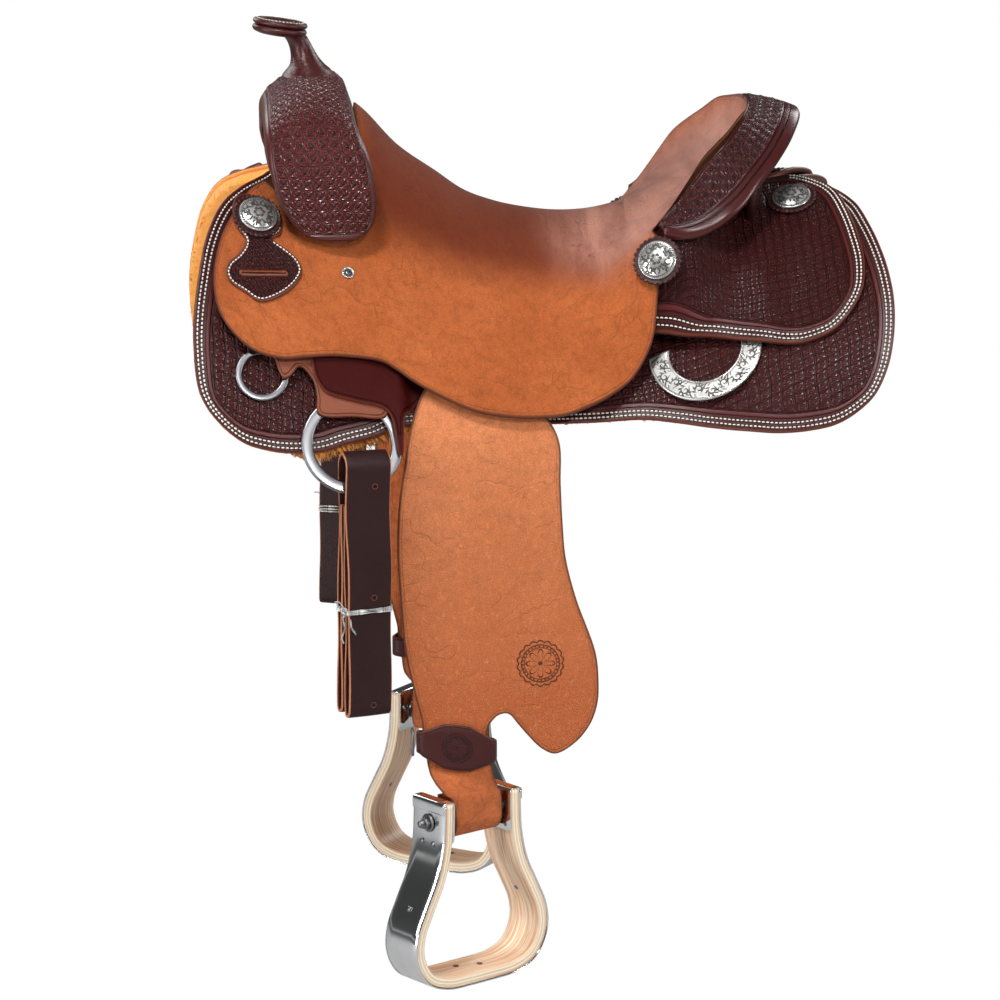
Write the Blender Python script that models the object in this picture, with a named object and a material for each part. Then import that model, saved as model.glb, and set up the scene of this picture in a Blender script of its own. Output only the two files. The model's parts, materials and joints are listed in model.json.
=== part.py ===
"""A western pleasure saddle as separate pieces: tree, leathers, rigging, fenders and stirrups.

Metres, +Z up, +X towards the cantle, the near (left) side at negative Y. The origin is on the underside
ridge at mid-length. Leathers follow one surface: x runs along the horse, s is the arc length from the
ridge down the side, and d is the distance out from the underside.
"""
import math

import bmesh
import bpy
import numpy as np
from mathutils import Matrix
from mathutils.geometry import delaunay_2d_cdt

# ---------------------------------------------------------------- driving dimensions
FLEECE = (0.0, 0.0112)            # d range of each layer
SKIRT = (0.0120, 0.0180)
BAR_D = 0.0196
RIG_LOW = (0.0276, 0.0304)
RIG_TOP = (0.0314, 0.0348)
HOUSING = (0.0196, 0.0252)
SEAT_D = 0.0340                   # outer face of the seat leather over a flat stretch of bar
SEAT_T = 0.0050
GRID_X, GRID_S = 0.038, 0.030     # mesh size of the large panels
CONCHO_R = 0.0192                 # 1.5 in conchos
FENDER_T = 0.0050
LEATHER_T = 0.0040                # stirrup leather
LEATHER_W = 0.064
LATIGO_W = 0.045
FENDER_PIVOT = (-.0845, .120, -.030)
STIRRUP_PIVOT = (-.0900, .1935, -.5370)
LOOP_R = .0130
STIRRUP_YAW = math.radians(-35)
STIRRUP_DEPTH = 0.050
BOLT_R = 0.0040
HORN_CAP_R = 0.0275

for _old in list(bpy.data.objects):
    bpy.data.objects.remove(_old, do_unlink=True)
SCENE = bpy.context.scene
SADDLE = bpy.data.collections.new("pleasure_saddle")
SCENE.collection.children.link(SADDLE)


# ---------------------------------------------------------------- curves and surfaces
def resample(points, step=None, closed=False, n=None):
    P = np.asarray(points, float)
    Q = np.vstack([P, P[:1]]) if closed else P
    L = np.concatenate([[0], np.cumsum(np.linalg.norm(np.diff(Q, axis=0), axis=1))])
    if n is None:
        n = max(int(round(L[-1] / step)), 3) + (0 if closed else 1)
    t = np.linspace(0, L[-1], n, endpoint=not closed)
    return np.stack([np.interp(t, L, Q[:, k]) for k in range(P.shape[1])], 1)


def spline(points, step=None, closed=False, n=None):
    """A smooth curve through the points (centripetal Catmull-Rom), resampled evenly."""
    P = np.asarray(points, float)
    P = np.vstack([P[-1], P, P[0], P[1]]) if closed else np.vstack([2 * P[0] - P[1], P, 2 * P[-1] - P[-2]])
    out = []
    for i in range(1, len(P) - 2):
        a, b, c, d = P[i - 1], P[i], P[i + 1], P[i + 2]
        t1 = max(np.linalg.norm(b - a), 1e-9) ** 0.5
        t2 = t1 + max(np.linalg.norm(c - b), 1e-9) ** 0.5
        t3 = t2 + max(np.linalg.norm(d - c), 1e-9) ** 0.5
        t = np.linspace(t1, t2, 17)[:-1, None]
        A1 = (t1 - t) / t1 * a + t / t1 * b
        A2 = (t2 - t) / (t2 - t1) * b + (t - t1) / (t2 - t1) * c
        A3 = (t3 - t) / (t3 - t2) * c + (t - t2) / (t3 - t2) * d
        B1 = (t2 - t) / t2 * A1 + t / t2 * A2
        B2 = (t3 - t) / (t3 - t1) * A2 + (t - t1) / (t3 - t1) * A3
        out.append((t2 - t) / (t2 - t1) * B1 + (t - t1) / (t2 - t1) * B2)
    if not closed:
        out.append(P[-2][None])
    return resample(np.vstack(out), step, closed, n)


def curve1(table):
    """A smooth function of one number through (x, value) pairs."""
    T = np.asarray(table, float)
    X, V = T[:, 0], T[:, 1]
    m = np.gradient(V, X)

    def f(x):
        x = np.clip(np.asarray(x, float), X[0], X[-1])
        i = np.clip(np.searchsorted(X, x, side="right") - 1, 0, len(X) - 2)
        h = X[i + 1] - X[i]
        t = (x - X[i]) / h
        return ((2 * t**3 - 3 * t * t + 1) * V[i] + (t**3 - 2 * t * t + t) * h * m[i]
                + (3 * t * t - 2 * t**3) * V[i + 1] + (t**3 - t * t) * h * m[i + 1])

    return f


def smooth(a, b, x):
    t = np.clip((np.asarray(x, float) - a) / (b - a), 0, 1)
    return t * t * (3 - 2 * t)


def ridge_z(x):
    x = np.asarray(x, float)
    return np.where(x < 0, 1.05, 0.77) * x * x


slope_top = curve1([(-.40, 49), (-.28, 45.5), (-.15, 43), (0, 41.5), (.08, 40), (.14, 36.5), (.20, 31), (.25, 27.5), (.33, 24.5), (.40, 23)])


def slope(x, s):
    t = np.clip(s / 0.045, 0, 1)
    top = slope_top(x)
    low = 71.5 - 16 * x
    return np.radians(top * (1 - (1 - t) ** 2) + (low - top) * np.clip((s - 0.09) / 0.25, 0, 1.35))


GX, GW = np.polynomial.legendre.leggauss(6)


def back(x, s, d=0.0):
    """The point at distance d off the underside, on the side of positive y."""
    x, s = np.broadcast_arrays(np.asarray(x, float), np.asarray(s, float))
    y = np.zeros(s.shape)
    z = ridge_z(x) * 1.0
    for a, b in ((0, .045), (.045, .09), (.09, .2), (.2, 9)):
        lo = np.minimum(s, a) if a else 0 * s
        hi = np.minimum(s, b)
        h, m = (hi - lo) / 2, (hi + lo) / 2
        for g, w in zip(GX, GW):
            p = slope(x, m + h * g)
            y = y + w * h * np.cos(p)
            z = z - w * h * np.sin(p)
    p = slope(x, s)
    x, y, z = np.broadcast_arrays(x, y + d * np.sin(p), z + d * np.cos(p))
    return np.stack([x, y, z], -1)


bar_height = curve1([(-.34, 0), (-.30, .004), (-.22, .014), (-.10, .014), (0, .018), (.08, .032), (.12, .034), (.18, .026), (.24, .014), (.29, .005), (.33, 0)])


def bar(x, s):
    """How far the tree bar lifts the leather above the skirt."""
    s = np.abs(s)
    return bar_height(x) * (0.35 + 0.65 * smooth(0, .06, s)) * (1 - smooth(.095, .20, s))


fender_room = curve1([(-.36, 0), (-.30, .003), (-.25, .0075), (-.19, .0090), (-.15, .0110), (-.10, .0135), (-.02, .0135), (.03, .009), (.07, .002), (.11, 0), (.3, 0)])


def bulge(x, s):
    """The jockey's extra stand-off over the rigging and the fender."""
    return fender_room(x) * smooth(.10, .18, np.abs(s))


def dee_room(x, s):
    return .0078 * smooth(.07, .10, x) * (1 - smooth(.20, .24, x)) * smooth(.10, .14, s)


center_z = curve1([(-.235, .168), (-.21, .165), (-.183, .149), (-.146, .1105), (-.105, .0815), (-.08, .064), (-.048, .0515), (-.014, .044), (.018, .0405), (.052, .042), (.077, .047), (.12, .063), (.16, .092), (.185, .121), (.207, .155), (.23, .19)])
rim_lift = curve1([(-.1, 0), (.02, 0), (.06, .010), (.093, .030), (.118, .052), (.136, .071), (.148, .083), (.163, .089), (.177, .091), (.19, .092), (.2, .088), (.207, .084)])
front_w = curve1([(-.40, .05), (-.24, .06), (-.20, .09), (-.17, .12), (-.15, .13), (-.1, .12), (0, .11), (.3, .11)])
RIM_X, RIM_A, RIM_S, RIM_N = .100, .107, .102, 2.2


def rim_s(x):
    """Where the cantle ridge runs, as s for an x: a squared-off half ellipse in plan."""
    t = np.clip((np.asarray(x, float) - RIM_X) / RIM_A, 0, 1)
    return RIM_S * np.maximum(1 - t**RIM_N, 0) ** (1 / RIM_N)


def lift(x, s):
    x = np.asarray(x, float)
    s = np.abs(np.asarray(s, float))
    c = center_z(x) - ridge_z(x) - SEAT_D - bar(x, 0 * s)
    t = np.clip(s / front_w(x), 0, 1)
    front = c * (1 - t * t) ** 2
    sr = rim_s(x)
    inside = np.clip(s / np.maximum(sr, 1e-4), 0, 1)
    outside = 1 - smooth(0, .075, s - sr)
    rear = (c + (rim_lift(x) - c) * inside**2.2) * np.where(s > sr, outside, 1)
    k = smooth(.0, .09, x)
    return front * (1 - k) + rear * k


def seat(x, s, d=SEAT_D):
    P = back(x, np.abs(s), d + bar(x, s) + bulge(x, s) + dee_room(x, np.abs(s)))
    P[..., 2] += lift(x, s)
    P[..., 1] *= np.where(np.asarray(s) < 0, -1, 1)
    return P


def housing(x, s, d):
    P = back(x, s, d + bar(x, s) + dee_room(x, s))
    P[..., 2] += lift(x, s) * (1 - smooth(.115, .19, x))
    return P


def height_at(x, y, d):
    """Height of the housing's outer face over a point of the plan."""
    s = np.linspace(0, .34, 120)
    P = housing(np.full(120, x), s, d)
    return float(np.interp(y, P[:, 1], P[:, 2]))


# ---------------------------------------------------------------- building
MATERIALS = {}
COLOURS = {
    "roughout": (.45, .17, .055, 1, .85, 0), "tooled": (.055, .012, .012, 1, .35, 0), "smooth": (.10, .016, .016, 1, .3, 0),
    "dark_strap": (.022, .012, .011, 1, .45, 0), "fleece": (.75, .42, .13, 1, .95, 0), "silver": (.75, .75, .73, 1, .2, 1),
    "steel": (.55, .55, .56, 1, .15, 1), "wood": (.62, .38, .19, 1, .45, 0), "tree": (.5, .33, .18, 1, .6, 0), "tie": (.85, .83, .78, 1, .7, 0),
}


def node(name, verts, faces, kind, origin=(0, 0, 0)):
    mesh = bpy.data.meshes.new(name)
    shift = np.asarray(origin, float)
    mesh.from_pydata([tuple(v) for v in np.asarray(verts, float) - shift], [], [tuple(int(i) for i in f) for f in faces])
    bm = bmesh.new()
    bm.from_mesh(mesh)
    bmesh.ops.remove_doubles(bm, verts=bm.verts, dist=1e-6)
    bmesh.ops.recalc_face_normals(bm, faces=bm.faces)
    if bm.calc_volume(signed=True) < 0:
        bmesh.ops.reverse_faces(bm, faces=bm.faces)
    bm.to_mesh(mesh)
    bm.free()
    obj = bpy.data.objects.new(name, mesh)
    SADDLE.objects.link(obj)
    obj.location = tuple(float(v) for v in shift)
    r, g, b, a, rough, metal = COLOURS[kind]
    mat = bpy.data.materials.new(name + "_" + kind)
    mat.use_nodes = True
    bsdf = mat.node_tree.nodes["Principled BSDF"]
    bsdf.inputs["Base Color"].default_value = (r, g, b, a)
    bsdf.inputs["Roughness"].default_value = rough
    bsdf.inputs["Metallic"].default_value = metal
    mesh.materials.append(mat)
    return obj


def triangulated(outline, gx, gs):
    """Delaunay mesh of the area inside a closed outline, with a lattice of inner points."""
    O = np.asarray(outline, float)
    lo, hi = O.min(0), O.max(0)
    rows = np.arange(math.floor(lo[1] / gs), math.ceil(hi[1] / gs) + 1) * gs
    if gs > .025:
        rows = np.unique(np.concatenate([rows, [.015, .045]]))
    X, S = np.meshgrid(np.arange(math.floor(lo[0] / gx), math.ceil(hi[0] / gx) + 1) * gx, rows)
    P = np.stack([X.ravel(), S.ravel()], 1)
    A, B = O, np.roll(O, -1, 0)
    inside = np.zeros(len(P), bool)
    near = np.full(len(P), 9.0)
    for a, b in zip(A, B):
        cross = (a[1] > P[:, 1]) != (b[1] > P[:, 1])
        with np.errstate(divide="ignore", invalid="ignore"):
            xi = (b[0] - a[0]) * (P[:, 1] - a[1]) / (b[1] - a[1]) + a[0]
        inside ^= cross & (P[:, 0] < xi)
        t = np.clip(((P - a) @ (b - a)) / max((b - a) @ (b - a), 1e-12), 0, 1)
        near = np.minimum(near, np.linalg.norm(P - a - t[:, None] * (b - a), axis=1))
    P = P[inside & (near > .30 * min(gx, gs))]
    coords = [tuple(v * 1000) for v in O] + [tuple(v * 1000) for v in P]
    out, _, faces, _, _, _ = delaunay_2d_cdt(coords, [], [list(range(len(O)))], 1, 1e-4)
    return np.array([tuple(v) for v in out]) / 1000, [tuple(f) for f in faces]


def panel(name, outline, low, high, kind, side, gx=GRID_X, gs=GRID_S, origin=(0, 0, 0)):
    """A sheet between two mappings of the plane, closed round its outline."""
    P, tris = triangulated(outline, gx, gs)
    top, bottom = high(P[:, 0], P[:, 1]), low(P[:, 0], P[:, 1])
    n = len(P)
    edges = {}
    for f in tris:
        for a, b in zip(f, f[1:] + f[:1]):
            edges[(a, b)] = True
    faces = [tuple(f) for f in tris] + [tuple(i + n for i in reversed(f)) for f in tris]
    faces += [(b, a, a + n, b + n) for a, b in edges if (b, a) not in edges]
    V = np.vstack([top, bottom])
    V[:, 1] *= side
    return node(name, V, faces, kind, np.array(origin) * (1, side, 1))


def loft(name, loops, kind, side=1, ring=False, origin=(0, 0, 0)):
    """Skins a row of closed loops; the ends are capped, or joined to each other in a ring."""
    L = np.asarray(loops, float)
    n, m = L.shape[:2]
    faces = []
    for i in range(n if ring else n - 1):
        for j in range(m):
            a, b = i * m + j, i * m + (j + 1) % m
            c, d = ((i + 1) % n) * m + (j + 1) % m, ((i + 1) % n) * m + j
            faces.append((a, b, c, d))
    if not ring:
        faces += [tuple(range(m)), tuple(range((n - 1) * m, n * m))]
    V = L.reshape(-1, 3).copy()
    V[:, 1] *= side
    return node(name, V, faces, kind, np.array(origin) * (1, side, 1))


def frame_at(fn, x, s, d):
    """Centre, two tangents and the outward normal of a surface."""
    e = 1e-3
    c = fn(x, s, d)
    tx = fn(x + e, s, d) - fn(x - e, s, d)
    ts = fn(x, s + e, d) - fn(x, s - e, d)
    nn = np.cross(tx, ts)
    nn /= np.linalg.norm(nn)
    tx /= np.linalg.norm(tx)
    return c, tx, np.cross(nn, tx), nn * (1 if nn[2] > 0 else -1)


def discs(name, at, profile, kind, side, n=28):
    """A turned shape: rings of (radius, height) about the normal of a surface point."""
    c, tx, ts, nn = at
    a = np.linspace(0, 2 * np.pi, n, endpoint=False)
    loops = [c + r * (np.cos(a)[:, None] * tx + np.sin(a)[:, None] * ts) + h * nn for r, h in profile]
    return loft(name, loops, kind, side)


# ---------------------------------------------------------------- outlines, in (x, s) millimetres
mm = lambda pts: np.array(pts, float) / 1000
SKIRT_OUT = mm([(-268, 12), (-282, 29), (-302, 55), (-324, 94), (-341, 146), (-349, 191), (-354, 231), (-355, 264), (-350, 304), (-338, 318),
                (-311, 327), (-281, 321), (-251, 309), (-229, 298), (-206, 282), (-179, 266), (-158, 251), (-125, 240), (-80, 232), (-30, 228),
                (30, 229), (82, 234), (114, 246), (146, 263), (178, 282), (210, 301), (241, 315), (265, 322), (285, 321), (302, 314), (315, 296),
                (323, 270), (327, 236), (326, 202), (322, 166), (316, 128), (308, 87), (294, 50), (279, 26), (262, 10), (200, 5), (100, 5),
                (0, 5), (-100, 5), (-200, 5), (-250, 6)])
HOUSING_OUT = mm([(236, 3), (252, 10), (266, 24), (279, 43), (290, 66), (297, 103), (302, 143), (304, 176), (299, 205), (286, 222), (268, 232),
                  (244, 230), (215, 218), (183, 198), (152, 180), (118, 168), (96, 162), (84, 158), (82, 140), (88, 118), (100, 101),
                  (120, 100), (140, 96), (158, 89), (176, 78), (191, 61), (201, 40), (206, 20), (210, 3)])
JOCKEY_EDGE = mm([(104, 112), (104, 124), (103, 136), (101, 149), (97, 167), (90, 180), (75, 198), (50, 214), (26, 224), (6, 230), (-24, 232),
                  (-54, 232), (-84, 229), (-113, 221), (-141, 211), (-158, 203), (-172, 199), (-212, 207), (-245, 221), (-267, 232), (-287, 237),
                  (-302, 237), (-317, 231), (-329, 219), (-334, 198), (-332, 170), (-325, 140), (-314, 111), (-297, 73), (-282, 51)])
FORK_CUT = mm([(-282, 51), (-266, 60), (-250, 72), (-232, 82), (-205, 88), (-190, 80), (-188, 60), (-189, 30)])
BAR_OUT = mm([(-288, 60), (-286, 100), (-270, 128), (-240, 144), (-150, 150), (0, 150), (150, 150), (220, 142), (258, 122), (272, 90), (268, 50),
              (240, 24), (180, 14), (0, 14), (-180, 14), (-250, 20), (-278, 36)])
RIG_LOW_OUT = mm([(-272, 210), (-276, 232), (-269, 248), (-262, 244), (-251, 229), (-240, 236), (-236, 250), (-235, 267), (-200, 257),
                  (-168, 246), (-168, 225), (-168, 190), (-180, 168), (-210, 162), (-260, 178)])
RIG_TOP_OUT = mm([(-242, 190), (-241, 214), (-237, 234), (-228, 244), (-200, 243), (-170, 241), (-164, 247), (-160, 266), (-157, 280), (-154, 281),
                  (-152, 262), (-150, 242), (-142, 231), (-128, 214), (-121, 198), (-126, 180), (-160, 170), (-220, 176)])
KEEPER_OUT = mm([(-314, 112), (-311, 124), (-302, 133), (-308, 150), (-319, 166), (-322, 178), (-317, 185), (-303, 187), (-290, 189), (-268, 173), (-252, 153),
                 (-247, 139), (-252, 129), (-265, 123), (-275, 119), (-267, 110), (-265, 96), (-271, 84), (-284, 78), (-300, 82), (-311, 94)])
FENDER_OUT = mm([(-112, -52), (-114, -70), (-120, -92), (-128, -108), (-135, -119), (-145, -145), (-151, -179), (-157, -220), (-159, -261), (-157, -306),
                 (-152, -366), (-144, -406), (-136, -438), (-132, -457), (-100, -459), (-72, -457), (-71, -450), (-68, -443), (-60, -434.5), (-50, -433),
                 (-40, -444), (-30, -456), (-17, -469), (-3, -475), (17, -464), (32, -445), (39, -424), (40, -403), (37, -373), (17, -316),
                 (7, -276), (4, -244), (2, -203), (1, -162), (-7, -143), (-28, -122), (-48, -99), (-61, -75), (-66, -52)])
# lateral position of the fender's middle plane against height
fender_y = curve1([(-.60, .2010), (-.46, .2005), (-.30, .1990), (-.20, .1970), (-.155, .1930), (-.135, .1860), (-.12, .1778), (-.10, .1645),
                   (-.08, .1522), (-.06, .1385), (-.04, .1225), (-.02, .105)])
# swell: rows of (y, z, front x, rear x, bulge) of the outer face, from the lower tip to the top centre
SWELL = mm([(124, 29, -222, -205, 1.2), (126, 34, -240, -186, 1.5), (129, 45, -254.5, -176, 2.0), (134, 66, -267.5, -173, 2.8), (137, 88, -274.5, -175, 4.0), (136, 106, -278, -178, 5.6),
            (130, 121, -279.5, -182, 8.5), (115, 137, -281, -188, 12.5), (90, 148, -281.5, -191, 17), (60, 155, -281, -191.5, 21), (30, 158, -280.5, -191.5, 23.5), (0, 158, -280.5, -191.5, 24)])
# cantle: ridge and outer rim of the roll, (x, y, z) from the centre to the end
RIDGE = mm([(209, 0, 157), (208, 22, 156), (202, 53, 150), (192, 82, 140.5), (179, 103, 127), (165, 115, 114), (150, 121.5, 99), (138, 125.5, 84),
            (124, 128, 67), (105, 130, 48)])
RIM = mm([(265, 0, 145), (263, 20, 144), (257, 46, 138), (245, 78, 122), (228, 105, 102), (206, 130, 81), (191, 141, 65.5), (171, 150, 51),
          (148, 153, 40), (124, 152, 38), (110, 147, 42)])

# ---------------------------------------------------------------- leathers on the back surface
rig_cover = lambda d: (lambda x, s: back(x, s, d - .0112 * smooth(-.153, -.143, x)))
at_d = lambda d: (lambda x, s: back(x, s, d))
seat_d = lambda d: (lambda x, s: seat(x, s, d))
skirt_loop = spline(SKIRT_OUT, .024, closed=True)
housing_loop = spline(HOUSING_OUT, .020, closed=True)
for tag, side in (("left", -1), ("right", 1)):
    panel(f"fleece_{tag}", skirt_loop, at_d(FLEECE[0]), at_d(FLEECE[1]), "fleece", side)
    panel(f"skirt_{tag}", skirt_loop, at_d(SKIRT[0]), at_d(SKIRT[1]), "tooled", side)
    panel(f"rear_housing_{tag}", housing_loop, lambda x, s: housing(x, s, HOUSING[0]), lambda x, s: housing(x, s, HOUSING[1]), "tooled", side, .022, .020)
    panel(f"tree_bar_{tag}", spline(BAR_OUT, .024, closed=True), at_d(BAR_D), lambda x, s: back(x, s, BAR_D + np.maximum(.82 * bar(x, s) - .0010, .0016)), "tree", side, .038, .030)
    panel(f"rigging_plate_{tag}", resample(RIG_LOW_OUT, .011, closed=True), at_d(RIG_LOW[0]), at_d(RIG_LOW[1]), "smooth", side, .022, .02)
    panel(f"rigging_cover_{tag}", spline(RIG_TOP_OUT, .009, closed=True), rig_cover(RIG_TOP[0]), rig_cover(RIG_TOP[1]), "smooth", side, .022, .02)
    panel(f"latigo_keeper_{tag}", spline(KEEPER_OUT, .009, closed=True), seat_d(SEAT_D + .0005), seat_d(SEAT_D + .0032), "smooth", side, .016, .016)

# the seat and both front jockeys, one hide
rim_a = np.linspace(0, math.pi / 2, 15)
rim_edge = np.stack([RIM_X + RIM_A * np.cos(rim_a) ** (2 / RIM_N), RIM_S * np.sin(rim_a) ** (2 / RIM_N)], 1)
half = np.vstack([resample(rim_edge, .017), spline(JOCKEY_EDGE, .017), spline(FORK_CUT, .015)[1:]])
half = half[half[:, 1] > .004]
seat_loop = np.vstack([[(RIM_X + RIM_A, 0)], half, [(-.189, 0)], half[::-1] * (1, -1)])
panel("seat_leather", seat_loop, seat_d(SEAT_D - SEAT_T), seat_d(SEAT_D), "roughout", 1, .021, .021)
ground_half = spline(mm([(196, 16), (184, 50), (164, 72), (130, 78), (90, 82), (0, 86), (-90, 82), (-150, 68), (-164, 30)]), .022)
ground_loop = np.vstack([[(.198, 0)], ground_half, [(-.165, 0)], ground_half[::-1] * (1, -1)])
panel("ground_seat", ground_loop, seat_d(SEAT_D - .0125), seat_d(SEAT_D - SEAT_T - .0030), "tree", 1, .021, .021)

# ---------------------------------------------------------------- fork and swell cover
sw = spline(SWELL, .015)
sw[-1, 0] = 0
both = np.vstack([sw, sw[-2::-1] * (-1, 1, 1, 1, 1)])
path, front, rear, swollen = both[:, :2], both[:, 2], both[:, 3], both[:, 4]
tangent = np.gradient(path, axis=0)
tangent /= np.linalg.norm(tangent, axis=1)[:, None]
inward = np.stack([-tangent[:, 1], tangent[:, 0]], 1)
arc = np.concatenate([[0], np.cumsum(np.linalg.norm(np.diff(path, axis=0), axis=1))])
from_tip = np.minimum(arc, arc[-1] - arc)


def crown(t):
    """How far the swell stands out between its front edge, t = 0, and its rear edge, t = 1."""
    return (1 - (1 - np.minimum(t / .42, 1)) ** 1.6) * (1 - np.maximum((t - .62) / .38, 0) ** 4)


def swell_loops(inset, flange, wall=None, share=1.0):
    """Sections of the fork: across x, then in by depth. With a wall they are U-shaped."""
    loops = []
    for i in range(len(path)):
        f, r = front[i] + inset, rear[i] - inset
        deep = float(flange(from_tip[i]))
        c = min(.006, (r - f) / 4, (deep - inset) * .45)
        high = lambda x: inset - share * swollen[i] * crown((x - front[i]) / (rear[i] - front[i]))
        mid = [f + c + (r - f - 2 * c) * q for q in (.14, .30, .46, .64, .82, .93)]
        out = [(f, deep), (f, inset + c), (f + .3 * c, high(f + .3 * c) + .3 * c), (f + c, high(f + c))] + [(x, high(x)) for x in mid] + [(r - c, high(r - c)), (r - .3 * c, high(r - .3 * c) + .3 * c), (r, inset + c), (r, deep)]
        if wall:
            w = min(wall, (r - f) / 3)
            top = min(wall, deep - inset - .0012)
            inner = [r - w - (r - f - 2 * w) * q for q in (.12, .35, .62, .86)]
            out += [(r - w, deep), (r - w, inset + top)] + [(x, min(high(x) + top, inset + top)) for x in inner] + [(f + w, inset + top), (f + w, deep)]
        loops.append([(x, *(path[i] + inward[i] * n)) for x, n in out])
    return np.array(loops)


tip_flange = lambda q: np.clip(.0032 + .55 * q, .0032, .028)
loft("swell_cover", swell_loops(0, tip_flange, .0060), "tooled")
keep = from_tip > .026
fork_all = swell_loops(.0086, lambda q: np.clip(.010 + .62 * (q - .02), .012, .034), share=.72)
loft("tree_fork", fork_all[keep], "tree")

# ---------------------------------------------------------------- horn
ang = np.linspace(0, 2 * np.pi, 28, endpoint=False)
NECK = [(.1860, -.2315, .0215, .030), (.193, -.2345, .0165, .024), (.200, -.2375, .0135, .0185), (.209, -.2405, .0118, .0150), (.2160, -.2440, .0115, .0142)]
loft("horn_neck", [[(x + rx * math.cos(a), ry * math.sin(a), z + .10 * rx * math.cos(a) * -1) for a in ang] for z, x, rx, ry in NECK], "smooth")
TILT = math.radians(8)


def cap_loops(rows):
    out = []
    for r, h in rows:
        out.append([(-.2625 + r * math.cos(a) * math.cos(TILT) + h * math.sin(TILT), r * 1.06 * math.sin(a), .2250 - r * math.cos(a) * math.sin(TILT) + h * math.cos(TILT)) for a in ang])
    return out


R = HORN_CAP_R
loft("horn_cap_lower", cap_loops([(.0200, -.0032), (R - .0035, -.0024), (R - .0008, -.0004), (R, .0016), (R - .0008, .0034), (R - .003, .0044)]), "smooth")
loft("horn_cap_top", cap_loops([(R - .0030, .0048), (R - .0010, .0056), (R, .0072), (R - .0008, .0090), (R - .004, .0102), (R * .45, .0112)]), "smooth")

# ---------------------------------------------------------------- cantle
ridge_h, rim_h = spline(RIDGE, n=17), spline(RIM, n=17)
mirror = (1, -1, 1)
ridge_c = np.vstack([ridge_h[::-1], ridge_h[1:] * mirror])
rim_c = np.vstack([rim_h[::-1], rim_h[1:] * mirror])
roll = []
for a, b in zip(ridge_c, rim_c):
    w = b - a
    wide = np.linalg.norm(w)
    e = w / wide
    dn = np.array([0, 0, -1.0]) - e * -e[2]
    dn /= np.linalg.norm(dn)
    sec = [(.0020, .0005), (.25 * wide, -.0010), (.55 * wide, -.0012), (.80 * wide, .0), (wide - .003, .0022), (wide, .0055), (wide + .0005, .010),
           (wide - .0030, .0125), (wide - .0060, .0105), (.70 * wide, .0075), (.35 * wide, .0070), (.0020, .0075)]
    roll.append([a + e * p + dn * q for p, q in sec])
loft("cheyenne_roll", roll, "tooled")
wall = []
for a, b in zip(ridge_c, rim_c):
    e = (b - a) * (1, 1, 0)
    e /= np.linalg.norm(e)
    hi = min(a[2], b[2] + .35 * (a[2] - b[2])) - .0165
    rows = []
    for off, up in ((.019, 0), (.0205, -.25), (.0195, -.6), (.0165, -1), (.0085, -1), (.0110, -.6), (.0115, -.25), (.0100, 0)):
        p = a + e * off
        low = height_at(p[0], abs(p[1]), HOUSING[1]) + .0038
        rows.append([p[0], p[1], hi + (hi - low) * up])
    if min(r[2] for r in rows[:3]) - max(r[2] for r in rows[3:5]) > .006:
        wall.append(rows)
loft("cantle_back", wall, "smooth")

# ---------------------------------------------------------------- conchos, rosettes, screws
DOME = [(CONCHO_R - .0004, .0), (CONCHO_R, .0008), (CONCHO_R - .0010, .0020), (CONCHO_R - .0040, .0036), (CONCHO_R * .45, .0052), (.0015, .0056)]
ROSE = [(.0240, .0), (.0258, .0010), (.0258, .0026), (.0240, .0034), (.004, .0034)]
for tag, side in (("left", -1), ("right", 1)):
    spots = (("front", frame_at(seat, -.2900, .1040, SEAT_D + .0042)), ("seat", frame_at(seat, .1020, .1300, SEAT_D + .0052)),
             ("rear", frame_at(housing, .2460, .0620, HOUSING[1] + .0008)))
    for where, (c, tx, ts, nn) in spots:
        if where != "front":
            discs(f"rosette_{where}_{tag}", (c, tx, ts, nn), ROSE, "smooth", side, 32)
        discs(f"concho_{where}_{tag}", (c + nn * .0037, tx, ts, nn), DOME, "silver", side, 28)
    discs(f"seat_screw_{tag}", frame_at(seat, -.2020, .1230, SEAT_D + .0006), [(.0062, 0), (.0070, .0006), (.0066, .0018), (.0042, .0026), (.001, .0026)], "steel", side, 20)

# ---------------------------------------------------------------- dees
def flat_ring(at, r_out, r_in, thick, start, stop, n):
    """Loops of a flat bar bent round a circle in a tangent plane; angles from +x towards +s."""
    c, tx, ts, nn = at
    loops = []
    for t in np.linspace(start, stop, n, endpoint=abs(stop - start) < 6.2):
        u = math.cos(t) * tx + math.sin(t) * ts
        e = min((r_out - r_in) * .16, thick * .3)
        loops.append([c + u * r + nn * h for r, h in ((r_in, 0), (r_out, 0), (r_out, thick - e), (r_out - e, thick), (r_in + e, thick), (r_in, thick - e))])
    return loops


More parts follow.
